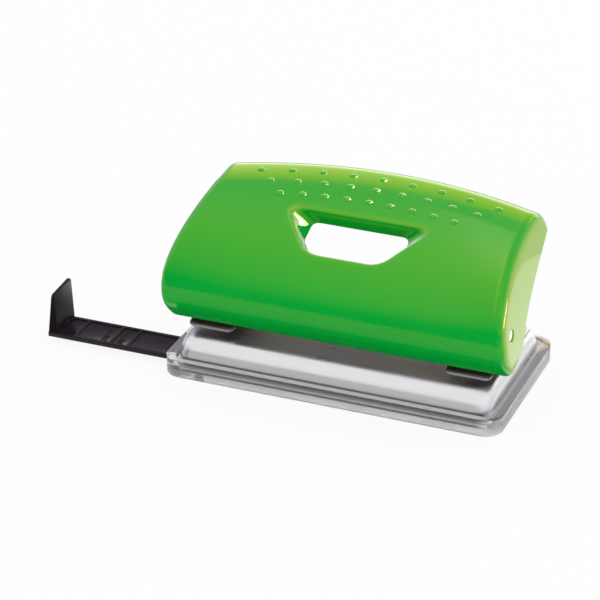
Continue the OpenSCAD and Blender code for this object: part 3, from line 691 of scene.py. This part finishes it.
def addSkin(bm, skin, ringS, ringU, rows):
    left, right, low, high = windowLines()
    grid = skin(sLines[None, :], uLines[:, None])
    addGrid(bm, grid * mm, skip=lambda i, j: low <= i < high and left <= j < right)
    s, u = windowLoop()
    t = (1 - (1 - np.linspace(0, 1, rows)) ** 1.3)[:, None]
    addGrid(bm, skin(s + (ringS - s) * t, u + (ringU - u) * t) * mm, closed=True)


# flat outline with round holes, meshed inside and lifted by a height function
def addCap(bm, loop, holes, spacing, lift):
    points, edges = [tuple(p) for p in loop], []
    n = len(points)
    edges += [(k, (k + 1) % n) for k in range(n)]
    for (cy, cz), r in holes:
        start, m = len(points), 40
        points += [(cy + r * math.cos(2 * math.pi * k / m), cz + r * math.sin(2 * math.pi * k / m)) for k in range(m)]
        edges += [(start + k, start + (k + 1) % m) for k in range(m)]
    loopArray = np.array(loop)
    lo, hi = loopArray.min(0), loopArray.max(0)
    for a in np.arange(lo[0] + spacing, hi[0], spacing):
        for b in np.arange(lo[1] + spacing, hi[1], spacing):
            e = np.roll(loopArray, -1, 0) - loopArray
            w = np.array([a, b]) - loopArray
            t = np.clip((w * e).sum(1) / np.maximum((e * e).sum(1), 1e-12), 0, 1)
            away = np.linalg.norm(w - e * t[:, None], axis=1).min()
            y0, y1 = loopArray[:, 1], np.roll(loopArray[:, 1], -1)
            cross = (y0 > b) != (y1 > b)
            at = loopArray[:, 0] + (b - y0) / np.where(cross, y1 - y0, 1) * e[:, 0]
            inside = (cross & (at > a)).sum() % 2 == 1
            clear = all(math.hypot(a - cy, b - cz) > r + spacing * 0.4 for (cy, cz), r in holes)
            if inside and away > spacing * 0.4 and clear:
                points.append((a, b))
    out = geometry.delaunay_2d_cdt([Vector(p) for p in points], edges, [], 1, 1e-7)
    verts = [bm.verts.new(Vector(lift(v[0], v[1])) * mm) for v in out[0]]
    for f in out[2]:
        c = sum((out[0][k] for k in f), Vector((0, 0))) / 3
        if all(math.hypot(c[0] - cy, c[1] - cz) > r * 0.996 for (cy, cz), r in holes):
            bm.faces.new([verts[k] for k in f])


def backCurve(inset, n):
    v = np.linspace(0, 1, n)
    b = backAt(v)
    (g, h), normal = frontAt(np.array([1.0, 0.0]))
    w = (1 - v)[:, None]
    return b - inset * (w * normal[0] + (1 - w) * normal[1])


def addRing(bm, x0, x1, radius, centre=(0.0, 0.0), rows=3, m=40):
    a = np.linspace(0, 2 * math.pi, m, endpoint=False)
    t = np.linspace(0, 1, rows)[:, None]
    x = x0 * (1 - t) + x1 * t + 0 * a
    r = radius[0] * (1 - t) + radius[1] * t
    addGrid(bm, np.stack([x, centre[0] + r * np.cos(a), centre[1] + r * np.sin(a)], -1) * mm, closed=True)


def wallAt(radius, m=40):
    return leverHalf(radius * np.sin(np.linspace(0, 2 * math.pi, m, endpoint=False)))


def makeLever():
    bm = bmesh.new()
    wall, bend = lever["wall"], lever["endRound"]
    s, u = windowLoop()
    fillet, thick, deep = handHole["fillet"], handHole["thick"], handHole["deep"]
    outline, normal, drift = matchOutline(s, u)

    # hand hole: rounded edge, drafted wall, rounded wall end, and back to the inside
    rings = []
    corner, depth = meetWall(outline, drift, 0.0, bend)[::3]
    ringS, ringU, away = meetSkin(corner + normal * fillet, 0.0, bend)
    start, middle = outerSkin(ringS, ringU), handPoint(corner, depth)
    depth = depth + fillet
    end = handPoint(outline + drift * depth[:, None], depth)
    for t in np.linspace(0, 1, 10):
        rings.append((1 - t) ** 2 * start + 2 * t * (1 - t) * middle + t * t * end)
    for t in np.linspace(0, 1, 6)[1:]:
        at = depth + (deep - 0.5 - depth) * t
        rings.append(handPoint(outline + drift * at[:, None], at))
    for off, at in ((0.12, deep - 0.15), (thick / 2, deep), (thick - 0.12, deep - 0.15), (thick, deep - 0.5)):
        rings.append(handPoint(outline + drift * at + normal * off, np.full(len(s), at)))
    inner = outline + normal * thick
    q, innerS, innerU, depth = meetWall(inner, drift, wall, wall)
    for t in (0.5, 1.0):
        at = deep - 0.5 + (depth - deep + 0.5) * t
        rings.append(handPoint(inner + drift * at[:, None], at))
    rings = np.array(rings)
    rings[0] = outerSkin(ringS, ringU)
    rings[-1] = innerSkin(innerS, innerU)
    addGrid(bm, rings * mm, closed=True)
    addSkin(bm, outerSkin, ringS, ringU, 11)
    addSkin(bm, innerSkin, innerS, innerU, 9)

    # rounded ends, end walls inside and out, and the bored bosses
    turn = np.radians(np.linspace(0, 90, 10))[:, None]
    backN = 60
    hole, bossHole = [((0.0, 0.0), lever["bore"])], [((0.0, 0.0), lever["boss"])]
    for side in (-1, 1):
        inset = bend * (1 - np.cos(turn)) + 0 * uLines
        strip = skinPoint(side, uLines[None, :] + 0 * turn, inset, bend * (1 - np.sin(turn)))
        addGrid(bm, strip * mm)
        front = strip[-1][:, 1:]
        back = backCurve(bend, backN)
        loop = np.concatenate([front, back[1:-1]])
        addCap(bm, loop, hole, 2.0, lambda y, z: (side * float(leverHalf(z)), y, z))
        frontIn = innerSkin(float(side), uLines)[:, 1:]
        backIn = backCurve(wall, backN)
        addCap(bm, np.concatenate([frontIn, backIn[1:-1]]), bossHole, 2.5,
               lambda y, z: (side * (float(leverHalf(z)) - wall), y, z))
        bore, boss, low = lever["bore"], lever["boss"], side * lever["bossLow"]
        addRing(bm, side * wallAt(bore), low, (bore, bore))
        addRing(bm, low, low, (bore, boss))
        addRing(bm, low, side * (wallAt(boss) - wall), (boss, boss))

    # rim all round the open back
    q, n = frontAt(np.array([0.0, 1.0]))
    down = bezierSlope(lowCurve, np.array([0.0]))[0] * -1
    rear = bezierSlope(rearCurve, np.array([1.0]))[0]
    down, rear = down / np.linalg.norm(down), rear / np.linalg.norm(rear)
    outer, inside, push = [], [], []

    def addRun(o, i, d):
        outer.append(o)
        inside.append(np.broadcast_to(i, o.shape))
        push.append(np.broadcast_to(np.concatenate([[0.0], d]) if np.ndim(d) == 1 else
                                    np.concatenate([np.zeros((len(d), 1)), d], 1), o.shape))

    bends = turn[:, 0]
    for side in (1, -1):
        order = slice(None) if side == 1 else slice(None, None, -1)
        edgeU = 0.0 if side == 1 else 1.0
        addRun(outerSkin(sLines[order], edgeU), innerSkin(sLines[order], edgeU), down if side == 1 else rear)
        path = backCurve(bend, backN)
        pathIn = backCurve(wall, backN)
        slope = np.gradient(path, axis=0)
        away = np.stack([-slope[:, 1], slope[:, 0]], -1) / np.linalg.norm(slope, axis=1, keepdims=True)
        runs = []
        for edge, direction, angles in ((0.0, down, bends), (1.0, rear, bends[::-1])):
            o = skinPoint(side, np.full(len(angles), edge), bend * (1 - np.cos(angles)), bend * (1 - np.sin(angles)))
            runs.append((o, innerSkin(float(side), np.array([edge]))[0], direction))
        zs, zi = path[:, 1], pathIn[:, 1]
        o = np.stack([side * leverHalf(zs), path[:, 0], zs], -1)[::-1]
        i = np.stack([side * (leverHalf(zi) - wall), pathIn[:, 0], zi], -1)[::-1]
        pieces = [runs[0], (o, i, -away[::-1]), runs[1]]
        if side == -1:
            pieces = [(a[::-1], b if np.ndim(b) == 1 else b[::-1], d if np.ndim(d) == 1 else d[::-1])
                      for a, b, d in pieces[::-1]]
        for piece in pieces:
            addRun(*piece)
    outer, inside, push = np.concatenate(outer), np.concatenate(inside), np.concatenate(push)
    strip = [outer + (inside - outer) * w + push * lever["rimBulge"] * h
             for w, h in ((0, 0), (0.12, 0.7), (0.5, 1.0), (0.88, 0.7), (1, 0))]
    addGrid(bm, np.array(strip) * mm, closed=True)

    bmesh.ops.translate(bm, vec=(0, lever["axle"][0] * mm, lever["axle"][1] * mm), verts=bm.verts)
    return finishMesh("leverSkin", bm, greenPlastic, sharp=50.0)


# painted highlight on thin edges, in mm: the end faces and the outer side of the hole's edge
edgeLight = {"end": 1.1, "endShare": 0.8, "hole": 1.1, "holeShare": 0.3, "facing": (0.6, 0.9),
             "near": {"x": 28, "along": (-15.5, 10.5), "depth": (-3, 2.5)}}


def addPaintedEdgeHighlight(obj):
    mesh = obj.data
    at, facing = np.zeros((2, len(mesh.vertices) * 3), np.float32)
    mesh.vertices.foreach_get("co", at)
    mesh.vertices.foreach_get("normal", facing)
    at = at.reshape(-1, 3).astype(float) / mm - [0, *lever["axle"]]
    ends = smooth((np.abs(at[:, 0]) - leverHalf(at[:, 2]) + edgeLight["end"]) / edgeLight["end"])
    c, sn = math.cos(handHole["tilt"]), math.sin(handHole["tilt"])
    y, z = at[:, 1] - handHole["mid"][0], at[:, 2] - handHole["mid"][1]
    along, depth = y * c + z * sn, y * sn - z * c
    inside = np.abs(at[:, 0]) < edgeLight["near"]["x"]
    for value, (low, high) in ((along, edgeLight["near"]["along"]), (depth, edgeLight["near"]["depth"])):
        inside &= (value > low) & (value < high)
    hole, ring = np.zeros(len(at)), handOutline(0.0)
    for part in np.array_split(np.where(inside)[0], 20):
        gap = np.linalg.norm(np.stack([at[part, 0], along[part]], -1)[:, None] - ring[None], axis=2).min(1)
        hole[part] = np.exp(-(gap / edgeLight["hole"]) ** 2)
    low, high = edgeLight["facing"]
    hole *= smooth((facing.reshape(-1, 3) @ np.array([0, -sn, c]) - low) / (high - low))
    values = mesh.attributes.new("paintedEdgeHighlight", "FLOAT", "POINT")
    share = np.maximum(ends * edgeLight["endShare"], hole * edgeLight["holeShare"])
    values.data.foreach_set("value", np.clip(share, 0, 1).astype(np.float32))


leverSkin = makeLever()
addPaintedEdgeHighlight(leverSkin)
onBody(leverSkin, "lever", "green_plastic", "lever_shell")
# the lever's pieces are kept out of reflections, so that the steel stays neutral
leverSkin.visible_glossy = False
print("lever skin:", len(leverSkin.data.polygons), "faces")


# geometry nodes helpers

def newTree(name, inputs):
    tree = bpy.data.node_groups.new(name, "GeometryNodeTree")
    tree.interface.new_socket(name="Geometry", in_out="INPUT", socket_type="NodeSocketGeometry")
    sockets = {label: tree.interface.new_socket(name=label, in_out="INPUT", socket_type=kind).identifier
               for label, kind in inputs}
    tree.interface.new_socket(name="Geometry", in_out="OUTPUT", socket_type="NodeSocketGeometry")
    return tree, sockets, tree.nodes.new("NodeGroupInput"), tree.nodes.new("NodeGroupOutput")


# smooth faces, realized copies and the material end each tree
def endTree(tree, outs, shape, material):
    soft = tree.nodes.new("GeometryNodeSetShadeSmooth")
    real = tree.nodes.new("GeometryNodeRealizeInstances")
    paint = tree.nodes.new("GeometryNodeSetMaterial")
    paint.inputs["Material"].default_value = material
    tree.links.new(shape, real.inputs["Geometry"])
    tree.links.new(real.outputs["Geometry"], soft.inputs["Geometry"])
    tree.links.new(soft.outputs["Geometry"], paint.inputs["Geometry"])
    tree.links.new(paint.outputs["Geometry"], outs.inputs["Geometry"])


def grown(name, mesh, tree, sockets, values):
    obj = bpy.data.objects.new(name, mesh)
    bpy.context.scene.collection.objects.link(obj)
    mod = obj.modifiers.new("grow", "NODES")
    mod.node_group = tree
    for label, value in values.items():
        mod[sockets[label]] = value
    return baked(obj)


# grip bumps: three rows of nine domes that stand on the skin

gripBumps = {"rows": [(0.773, 9.28), (0.7215, 8.06), (0.6656, 6.77)], "radius": 1.6, "tall": 1.2, "sunk": 0.71}


def bumpTree():
    labels = ("Radius", "Tall", "Sunk")
    tree, sockets, ins, outs = newTree("gripBumpTree", [(label, "NodeSocketFloat") for label in labels])
    nodes, links = tree.nodes, tree.links
    ball = addNode(nodes, "GeometryNodeMeshUVSphere", Segments=28, Rings=20)
    links.new(ins.outputs["Radius"], ball.inputs["Radius"])
    flat = nodes.new("ShaderNodeCombineXYZ")
    flat.inputs["X"].default_value = flat.inputs["Y"].default_value = 1.0
    links.new(mathNode(nodes, links, "DIVIDE", ins.outputs["Tall"], ins.outputs["Radius"]), flat.inputs["Z"])
    dome = nodes.new("GeometryNodeTransform")
    links.new(ball.outputs["Mesh"], dome.inputs["Geometry"])
    links.new(flat.outputs[0], dome.inputs["Scale"])
    down = nodes.new("ShaderNodeCombineXYZ")
    links.new(mathNode(nodes, links, "MULTIPLY", ins.outputs["Sunk"], -1.0), down.inputs["Z"])
    links.new(down.outputs[0], dome.inputs["Translation"])
    outward = addNode(nodes, "GeometryNodeInputNamedAttribute", data_type="FLOAT_VECTOR")
    outward.inputs["Name"].default_value = "outward"
    turn = addNode(nodes, "FunctionNodeAlignRotationToVector", axis="Z")
    links.new(outward.outputs["Attribute"], turn.inputs["Vector"])
    place = nodes.new("GeometryNodeInstanceOnPoints")
    links.new(ins.outputs["Geometry"], place.inputs["Points"])
    links.new(dome.outputs["Geometry"], place.inputs["Instance"])
    links.new(turn.outputs["Rotation"], place.inputs["Rotation"])
    endTree(tree, outs, place.outputs["Instances"], greenPlastic)
    return tree, sockets


def makeGripBumps():
    points, normals = [], []
    for u, pitch in gripBumps["rows"]:
        for k in range(-4, 5):
            half = float(leverHalf(frontAt(np.array(u))[0][1])) - lever["endRound"]
            s = k * pitch / half
            a = outerSkin(s + 0.01, u) - outerSkin(s - 0.01, u)
            b = outerSkin(s, u + 0.004) - outerSkin(s, u - 0.004)
            n = np.cross(a, b)
            points.append((outerSkin(s, u) + [0, *lever["axle"]]) * mm)
            normals.append(n / np.linalg.norm(n))
    mesh = bpy.data.meshes.new("gripBumps")
    mesh.from_pydata(points, [], [])
    values = mesh.attributes.new("outward", "FLOAT_VECTOR", "POINT")
    values.data.foreach_set("vector", np.array(normals, np.float32).ravel())
    tree, sockets = bumpTree()
    sizes = {label: gripBumps[label.lower()] * mm for label in sockets}
    obj = grown("gripBumps", mesh, tree, sockets, sizes)
    return onBody(obj, "lever", "green_plastic")


# press ribs under the panel that push the pin heads

pressRib = {"x": 40.0, "width": 8.8, "nose": (14.836, 2.35), "radius": 2.0, "reach": (0.6, 0.64), "edge": 0.35}


def makePressRibs():
    bm = bmesh.new()
    y0, z0 = pressRib["nose"]
    r, half = pressRib["radius"], pressRib["width"] / 2
    turn = np.radians(np.linspace(180, 360, 25))
    s = pressRib["x"] / float(leverHalf(lever["rise"]))
    a, b = (skinPoint(s, u, lever["wall"] / 2, 0.0)[1:] for u in pressRib["reach"])
    nose = [(y0 + r * math.cos(t), z0 + r * math.sin(t)) for t in turn]
    outline = np.array(nose + [tuple(b), tuple(a)])
    middle = outline.mean(0)
    for side in (-1, 1):
        rows = []
        for x, shrink in ((-half, 1), (-half + pressRib["edge"], 0), (half - pressRib["edge"], 0), (half, 1)):
            inward = (middle - outline) / np.linalg.norm(middle - outline, axis=1, keepdims=True)
            q = outline + inward * shrink * pressRib["edge"]
            rows.append(np.column_stack([np.full(len(q), side * pressRib["x"] + x), q]))
        rows = (np.array(rows) + [0, *lever["axle"]]) * mm
        addGrid(bm, rows, closed=True)
        for row in (rows[0], rows[-1]):
            bm.faces.new([bm.verts.new(p) for p in row])
    return onBody(finishMesh("pressRibs", bm, greenPlastic), "lever", "green_plastic")


for piece in (makeGripBumps(), makePressRibs()):
    piece.visible_glossy = False
print("grip bumps and press ribs made")


# steel base: drawn pillow with flat top, holes with soft edges and a skirt

baseShell = {"half": 48.85, "deep": 24.95, "corner": 5.5, "low": 3.2, "wall": 5.0, "top": 11.0, "sheet": 0.8,
             "shoulderEnd": 2.6, "shoulderFront": 6.0, "pinHole": 3.2, "rivetHole": 1.55, "pin": (40.0, -4.4),
             "rivetY": 13.85, "rivetX": (-0.65, 0.35), "rivetStep": 6.3, "burr": 0.2}


def roundRect(hx, hy, r, n=14):
    points = []
    for q in range(4):
        sx, sy = (1, -1, -1, 1)[q], (1, 1, -1, -1)[q]
        for a in np.radians(90 * q + np.linspace(0, 90, n)):
            points.append((sx * (hx - r) + r * math.cos(a), sy * (hy - r) + r * math.sin(a)))
    return np.array(points)


def pillowRings(inset, low, drop):
    wall, rise = baseShell["wall"], baseShell["top"] - drop - baseShell["wall"]
    rings = [(low, inset, inset), (wall * 0.5 + low * 0.5, inset, inset)]
    for a in np.radians(np.linspace(0, 90, 22)):
        rings.append((wall + rise * math.sin(a), inset + (baseShell["shoulderEnd"] - inset * 0.5) * (1 - math.cos(a)),
                      inset + (baseShell["shoulderFront"] - inset * 0.5) * (1 - math.cos(a))))
    grid = []
    for z, ix, iy in rings:
        q = roundRect(baseShell["half"] - ix, baseShell["deep"] - iy, baseShell["corner"] - inset)
        grid.append(np.column_stack([q, np.full(len(q), z)]))
    return np.array(grid)


def makeBaseShell():
    bm = bmesh.new()
    x, y = baseShell["pin"]
    holes = [((side * x, y), baseShell["pinHole"]) for side in (-1, 1)]
    holes += [((side * (x + k * baseShell["rivetStep"]), baseShell["rivetY"]), baseShell["rivetHole"])
              for side in (-1, 1) for k in baseShell["rivetX"]]
    outer = pillowRings(0.0, baseShell["low"], 0.0)
    inner = pillowRings(baseShell["sheet"], baseShell["low"], baseShell["sheet"])
    burr = baseShell["burr"]
    top, under = baseShell["top"], baseShell["top"] - baseShell["sheet"]
    addGrid(bm, outer * mm, closed=True)
    addGrid(bm, inner[::-1] * mm, closed=True)
    addGrid(bm, np.array([inner[0], outer[0]]) * mm, closed=True)
    addCap(bm, outer[-1][:, :2], [(c, r + burr) for c, r in holes], 4.0, lambda a, b: (a, b, top))
    addCap(bm, inner[-1][:, :2], holes, 4.0, lambda a, b: (a, b, under))
    turn = np.linspace(0, 2 * math.pi, 40, endpoint=False)
    for (cx, cy), r in holes:
        rows = [(r + burr, top), (r + burr * 0.3, top - burr * 0.3), (r, top - burr), (r, under)]
        addGrid(bm, np.array([[(cx + e * math.cos(a), cy + e * math.sin(a), z) for a in turn] for e, z in rows]) * mm,
                closed=True)
    return onBody(finishMesh("baseShell", bm, baseSteel, sharp=40.0), "base", "base_steel", "base_plate")


makeBaseShell()
print("steel base made")


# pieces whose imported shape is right: merged, softened at the edges and given their finish

def dressed(name, node, body, slotName, material, width, segments=2, sharp=35.0, move=None):
    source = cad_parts[node]
    bm = bmesh.new()
    bm.from_mesh(source.data)
    bmesh.ops.transform(bm, matrix=source.matrix_world, verts=bm.verts)
    bmesh.ops.remove_doubles(bm, verts=bm.verts, dist=2e-6)
    if move:
        for v in bm.verts:
            v.co.x += move["by"] * mm if move["x"][0] < v.co.x / mm < move["x"][1] else 0.0
    bmesh.ops.dissolve_limit(bm, angle_limit=math.radians(0.5), verts=bm.verts, edges=bm.edges)
    edges = [e for e in bm.edges if len(e.link_faces) == 2 and e.calc_face_angle() > math.radians(sharp)]
    if width:
        bmesh.ops.bevel(bm, geom=edges, offset=width * mm, offset_type="OFFSET", segments=segments, profile=0.5,
                        affect="EDGES", clamp_overlap=True)
    bmesh.ops.triangulate(bm, faces=[f for f in bm.faces if len(f.verts) > 4])
    return onBody(finishMesh(name, bm, material, sharp=sharp, recalc=False), body, slotName, node)


# the guide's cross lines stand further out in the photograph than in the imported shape
crossLines = {"x": (-80.0, -60.0), "by": -5.5}
dressed("traySkin", "chip_tray", "tray", "frosted_plastic", frostedPlastic, 0.3, 3)
dressed("guideBar", "paper_guide", "guide", "black_plastic", blackPlastic, 0.14, move=crossLines)
# the punch heads take the lighter steel colour behind this depth in mm
footFrom = 9.0
for side in ("left", "right"):
    head = dressed(side + "PunchHead", side + "_bracket", "base", "dark_steel", darkSteel, 0.18)
    lighterFoot = [1.0 if v.co.y > footFrom * mm else 0.0 for v in head.data.vertices]
    head.data.attributes.new("lighterMask", "FLOAT", "POINT").data.foreach_set("value", lighterFoot)
    dressed(side + "Die", side + "_die_plate", "base", "hard_steel", hardSteel, 0.1)
    dressed(side + "Rivets", side + "_bracket_rivets", "base", "bright_steel", brightSteel, 0.0, sharp=50.0)
    dressed(side + "Bush", side + "_guide_bush", "base", "bush_brass", bushBrass, 0.08)
    dressed(side + "Pin", side + "_punch_pin", side + "_punch", "hard_steel", hardSteel, 0.05)
    dressed(side + "Washer", side + "_spring_washer", side + "_punch", "bright_steel", brightSteel, 0.12)
    dressed(side + "PinClip", side + "_pin_clip", side + "_punch", "dark_steel", darkSteel, 0.08)
    dressed(side + "AxleClip", side + "_axle_clip", "base", "dark_steel", darkSteel, 0.08)


# front lips of the punch heads: plates with a full round edge that show under the lever

frontLip = {"x": 40.0, "half": 7.0, "y": (-19.0, -14.4), "z": 14.15, "thick": 1.3, "corner": 1.6, "droop": 0.35}


def makeLips():
    r = frontLip["thick"] / 2
    front, back = frontLip["y"]
    for side, sign in (("left", -1), ("right", 1)):
        half, corner = frontLip["half"], frontLip["corner"]
        edge = [(-half, back), (-half, front + corner)]
        edge += [(-half + corner - corner * math.cos(a), front + corner - corner * math.sin(a))
                 for a in np.radians(np.linspace(0, 90, 8))][1:]
        edge = np.array(edge + [(-x, y) for x, y in edge[::-1]])
        inward = np.array([0.0, back]) - edge
        inward /= np.maximum(np.linalg.norm(inward, axis=1, keepdims=True), 1e-6)
        rows = []
        for a in np.radians(np.linspace(-90, 90, 11)):
            q = edge + inward * r * (1 - math.cos(a))
            z = frontLip["z"] + r * math.sin(a) - frontLip["droop"] * ((back - q[:, 1]) / (back - front)) ** 2
            rows.append(np.column_stack([q[:, 0] + sign * frontLip["x"], q[:, 1], z]))
        rows = np.array(rows) * mm
        bm = bmesh.new()
        addGrid(bm, rows, closed=True)
        for row in (rows[0], rows[-1]):
            bm.faces.new([bm.verts.new(p) for p in row])
        bmesh.ops.triangulate(bm, faces=[f for f in bm.faces if len(f.verts) > 4])
        lip = finishMesh(side + "Lip", bm, darkSteel, sharp=45.0)
        # painted highlight: the lip's lower front and side edges take the lighter colour
        rim = frontLip["z"] - frontLip["droop"] + r * 0.35
        lighter = [1.0 if v.co.z < rim * mm and (v.co.y < (front + 0.5) * mm or
                abs(v.co.x - sign * frontLip["x"] * mm) > (half - 0.5) * mm) else 0.0 for v in lip.data.vertices]
        lip.data.attributes.new("lighterMask", "FLOAT", "POINT").data.foreach_set("value", lighter)
        onBody(lip, "base", "dark_steel")


makeLips()
print("tray, guide and punch heads dressed")


# axle with domed ends that fill the bores

axleRod = {"half": 52.1, "radius": 2.0, "dome": 0.75, "groove": 32.1, "grooveWide": 0.7, "grooveDeep": 0.5}


def makeAxle():
    r, half = axleRod["radius"], axleRod["half"]
    right = [(axleRod["groove"] + dx, e) for dx, e in ((0, r), (0, r - axleRod["grooveDeep"]),
             (axleRod["grooveWide"], r - axleRod["grooveDeep"]), (axleRod["grooveWide"], r))]
    right += [(half - 0.1 + axleRod["dome"] * math.sin(a), 1e-4 + (r - 1e-4) * math.cos(a))
              for a in np.radians(np.linspace(0, 90, 9))]
    profile = [(-x, e) for x, e in right[::-1]] + right
    turn = np.linspace(0, 2 * math.pi, 40, endpoint=False)
    grid = np.array([[(x, e * math.cos(a), e * math.sin(a)) for a in turn] for x, e in profile])
    bm = bmesh.new()
    addGrid(bm, (grid + [0, *lever["axle"]]) * mm, closed=True)
    for row in (grid[0], grid[-1]):
        bm.faces.new([bm.verts.new(p) for p in (row + [0, *lever["axle"]]) * mm])
    return onBody(finishMesh("axleRod", bm, brightSteel, sharp=40.0), "base", "bright_steel", "lever_axle")


# return springs: one wire wound round each pin, its end coils drawn closer

returnSpring = {"radius": 4.3, "wire": 0.4, "coils": 5.0, "height": 10.35, "low": 15.95, "closing": 0.16,
                "pin": (40.0, -4.4), "seat": 15.55, "travel": 4.7}


def springTree():
    labels = ("Radius", "Wire", "Coils", "Height", "Closing")
    tree, sockets, ins, outs = newTree("returnSpringTree", [(label, "NodeSocketFloat") for label in labels])
    nodes, links = tree.nodes, tree.links
    coil = addNode(nodes, "GeometryNodeCurveSpiral", Resolution=40)
    links.new(ins.outputs["Coils"], coil.inputs["Rotations"])
    links.new(ins.outputs["Radius"], coil.inputs["Start Radius"])
    links.new(ins.outputs["Radius"], coil.inputs["End Radius"])
    links.new(ins.outputs["Height"], coil.inputs["Height"])
    t = nodes.new("GeometryNodeSplineParameter").outputs["Factor"]
    pulls = []
    for along in (t, mathNode(nodes, links, "SUBTRACT", 1.0, t)):
        share = mathNode(nodes, links, "MAXIMUM", mathNode(nodes, links, "SUBTRACT", 1.0,
                         mathNode(nodes, links, "DIVIDE", along, ins.outputs["Closing"])), 0.0)
        pulls.append(mathNode(nodes, links, "MULTIPLY", mathNode(nodes, links, "MULTIPLY", along, share), 0.5))
    shift = nodes.new("ShaderNodeCombineXYZ")
    pull = mathNode(nodes, links, "SUBTRACT", pulls[1], pulls[0])
    links.new(mathNode(nodes, links, "MULTIPLY", pull, ins.outputs["Height"]), shift.inputs["Z"])
    closed = nodes.new("GeometryNodeSetPosition")
    links.new(coil.outputs["Curve"], closed.inputs["Geometry"])
    links.new(shift.outputs[0], closed.inputs["Offset"])
    wire = addNode(nodes, "GeometryNodeCurvePrimitiveCircle", Resolution=12)
    links.new(ins.outputs["Wire"], wire.inputs["Radius"])
    tube = nodes.new("GeometryNodeCurveToMesh")
    tube.inputs["Fill Caps"].default_value = True
    links.new(closed.outputs["Geometry"], tube.inputs["Curve"])
    links.new(wire.outputs["Curve"], tube.inputs["Profile Curve"])
    endTree(tree, outs, tube.outputs["Mesh"], brightSteel)
    return tree, sockets


def makeSprings():
    tree, sockets = springTree()
    x, y = returnSpring["pin"]
    for side, sign in (("left", -1), ("right", 1)):
        obj = grown(side + "Spring", bpy.data.meshes.new(side + "Spring"), tree, sockets,
                    {"Radius": returnSpring["radius"] * mm, "Wire": returnSpring["wire"] * mm,
                     "Coils": returnSpring["coils"], "Height": returnSpring["height"] * mm,
                     "Closing": returnSpring["closing"]})
        at = np.zeros(len(obj.data.vertices) * 3, np.float32)
        obj.data.vertices.foreach_get("co", at)
        at = at.reshape(-1, 3) + np.array([sign * x, y, returnSpring["low"]], np.float32) * mm
        obj.data.vertices.foreach_set("co", at.ravel())
        obj.data.update()
        onBody(obj, "base", "bright_steel", side + "_return_spring")
        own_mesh(obj)


makeAxle()
makeSprings()
print("axle and springs made")


# raised numbers on the guide bar

guideMarks = {"size": 2.5, "raise": 0.14, "floor": 2.35, "y": -14.4,
              "texts": [("210 297", -74.6), ("182 257", -69.3)]}


def makeGuideMarks():
    bm = bmesh.new()
    for words, x in guideMarks["texts"]:
        curve = bpy.data.curves.new("numberMark", "FONT")
        curve.body = words
        curve.size = guideMarks["size"] * mm
        curve.extrude = guideMarks["raise"] * mm / 2
        curve.align_x = "CENTER"
        curve.resolution_u = 3
        holder = bpy.data.objects.new("numberMark", curve)
        bpy.context.scene.collection.objects.link(holder)
        bpy.context.view_layer.update()
        mesh = bpy.data.meshes.new_from_object(holder.evaluated_get(bpy.context.evaluated_depsgraph_get()))
        bpy.data.objects.remove(holder)
        mesh.transform(Matrix.Translation(Vector((x, guideMarks["y"], guideMarks["floor"] + 0.02)) * mm)
                       @ Matrix.Rotation(math.pi / 2, 4, "Z"))
        bm.from_mesh(mesh)
        bpy.data.meshes.remove(mesh)
    return onBody(finishMesh("guideMarks", bm, blackPlastic), "guide", "black_plastic")


makeGuideMarks()
print("guide marks made")
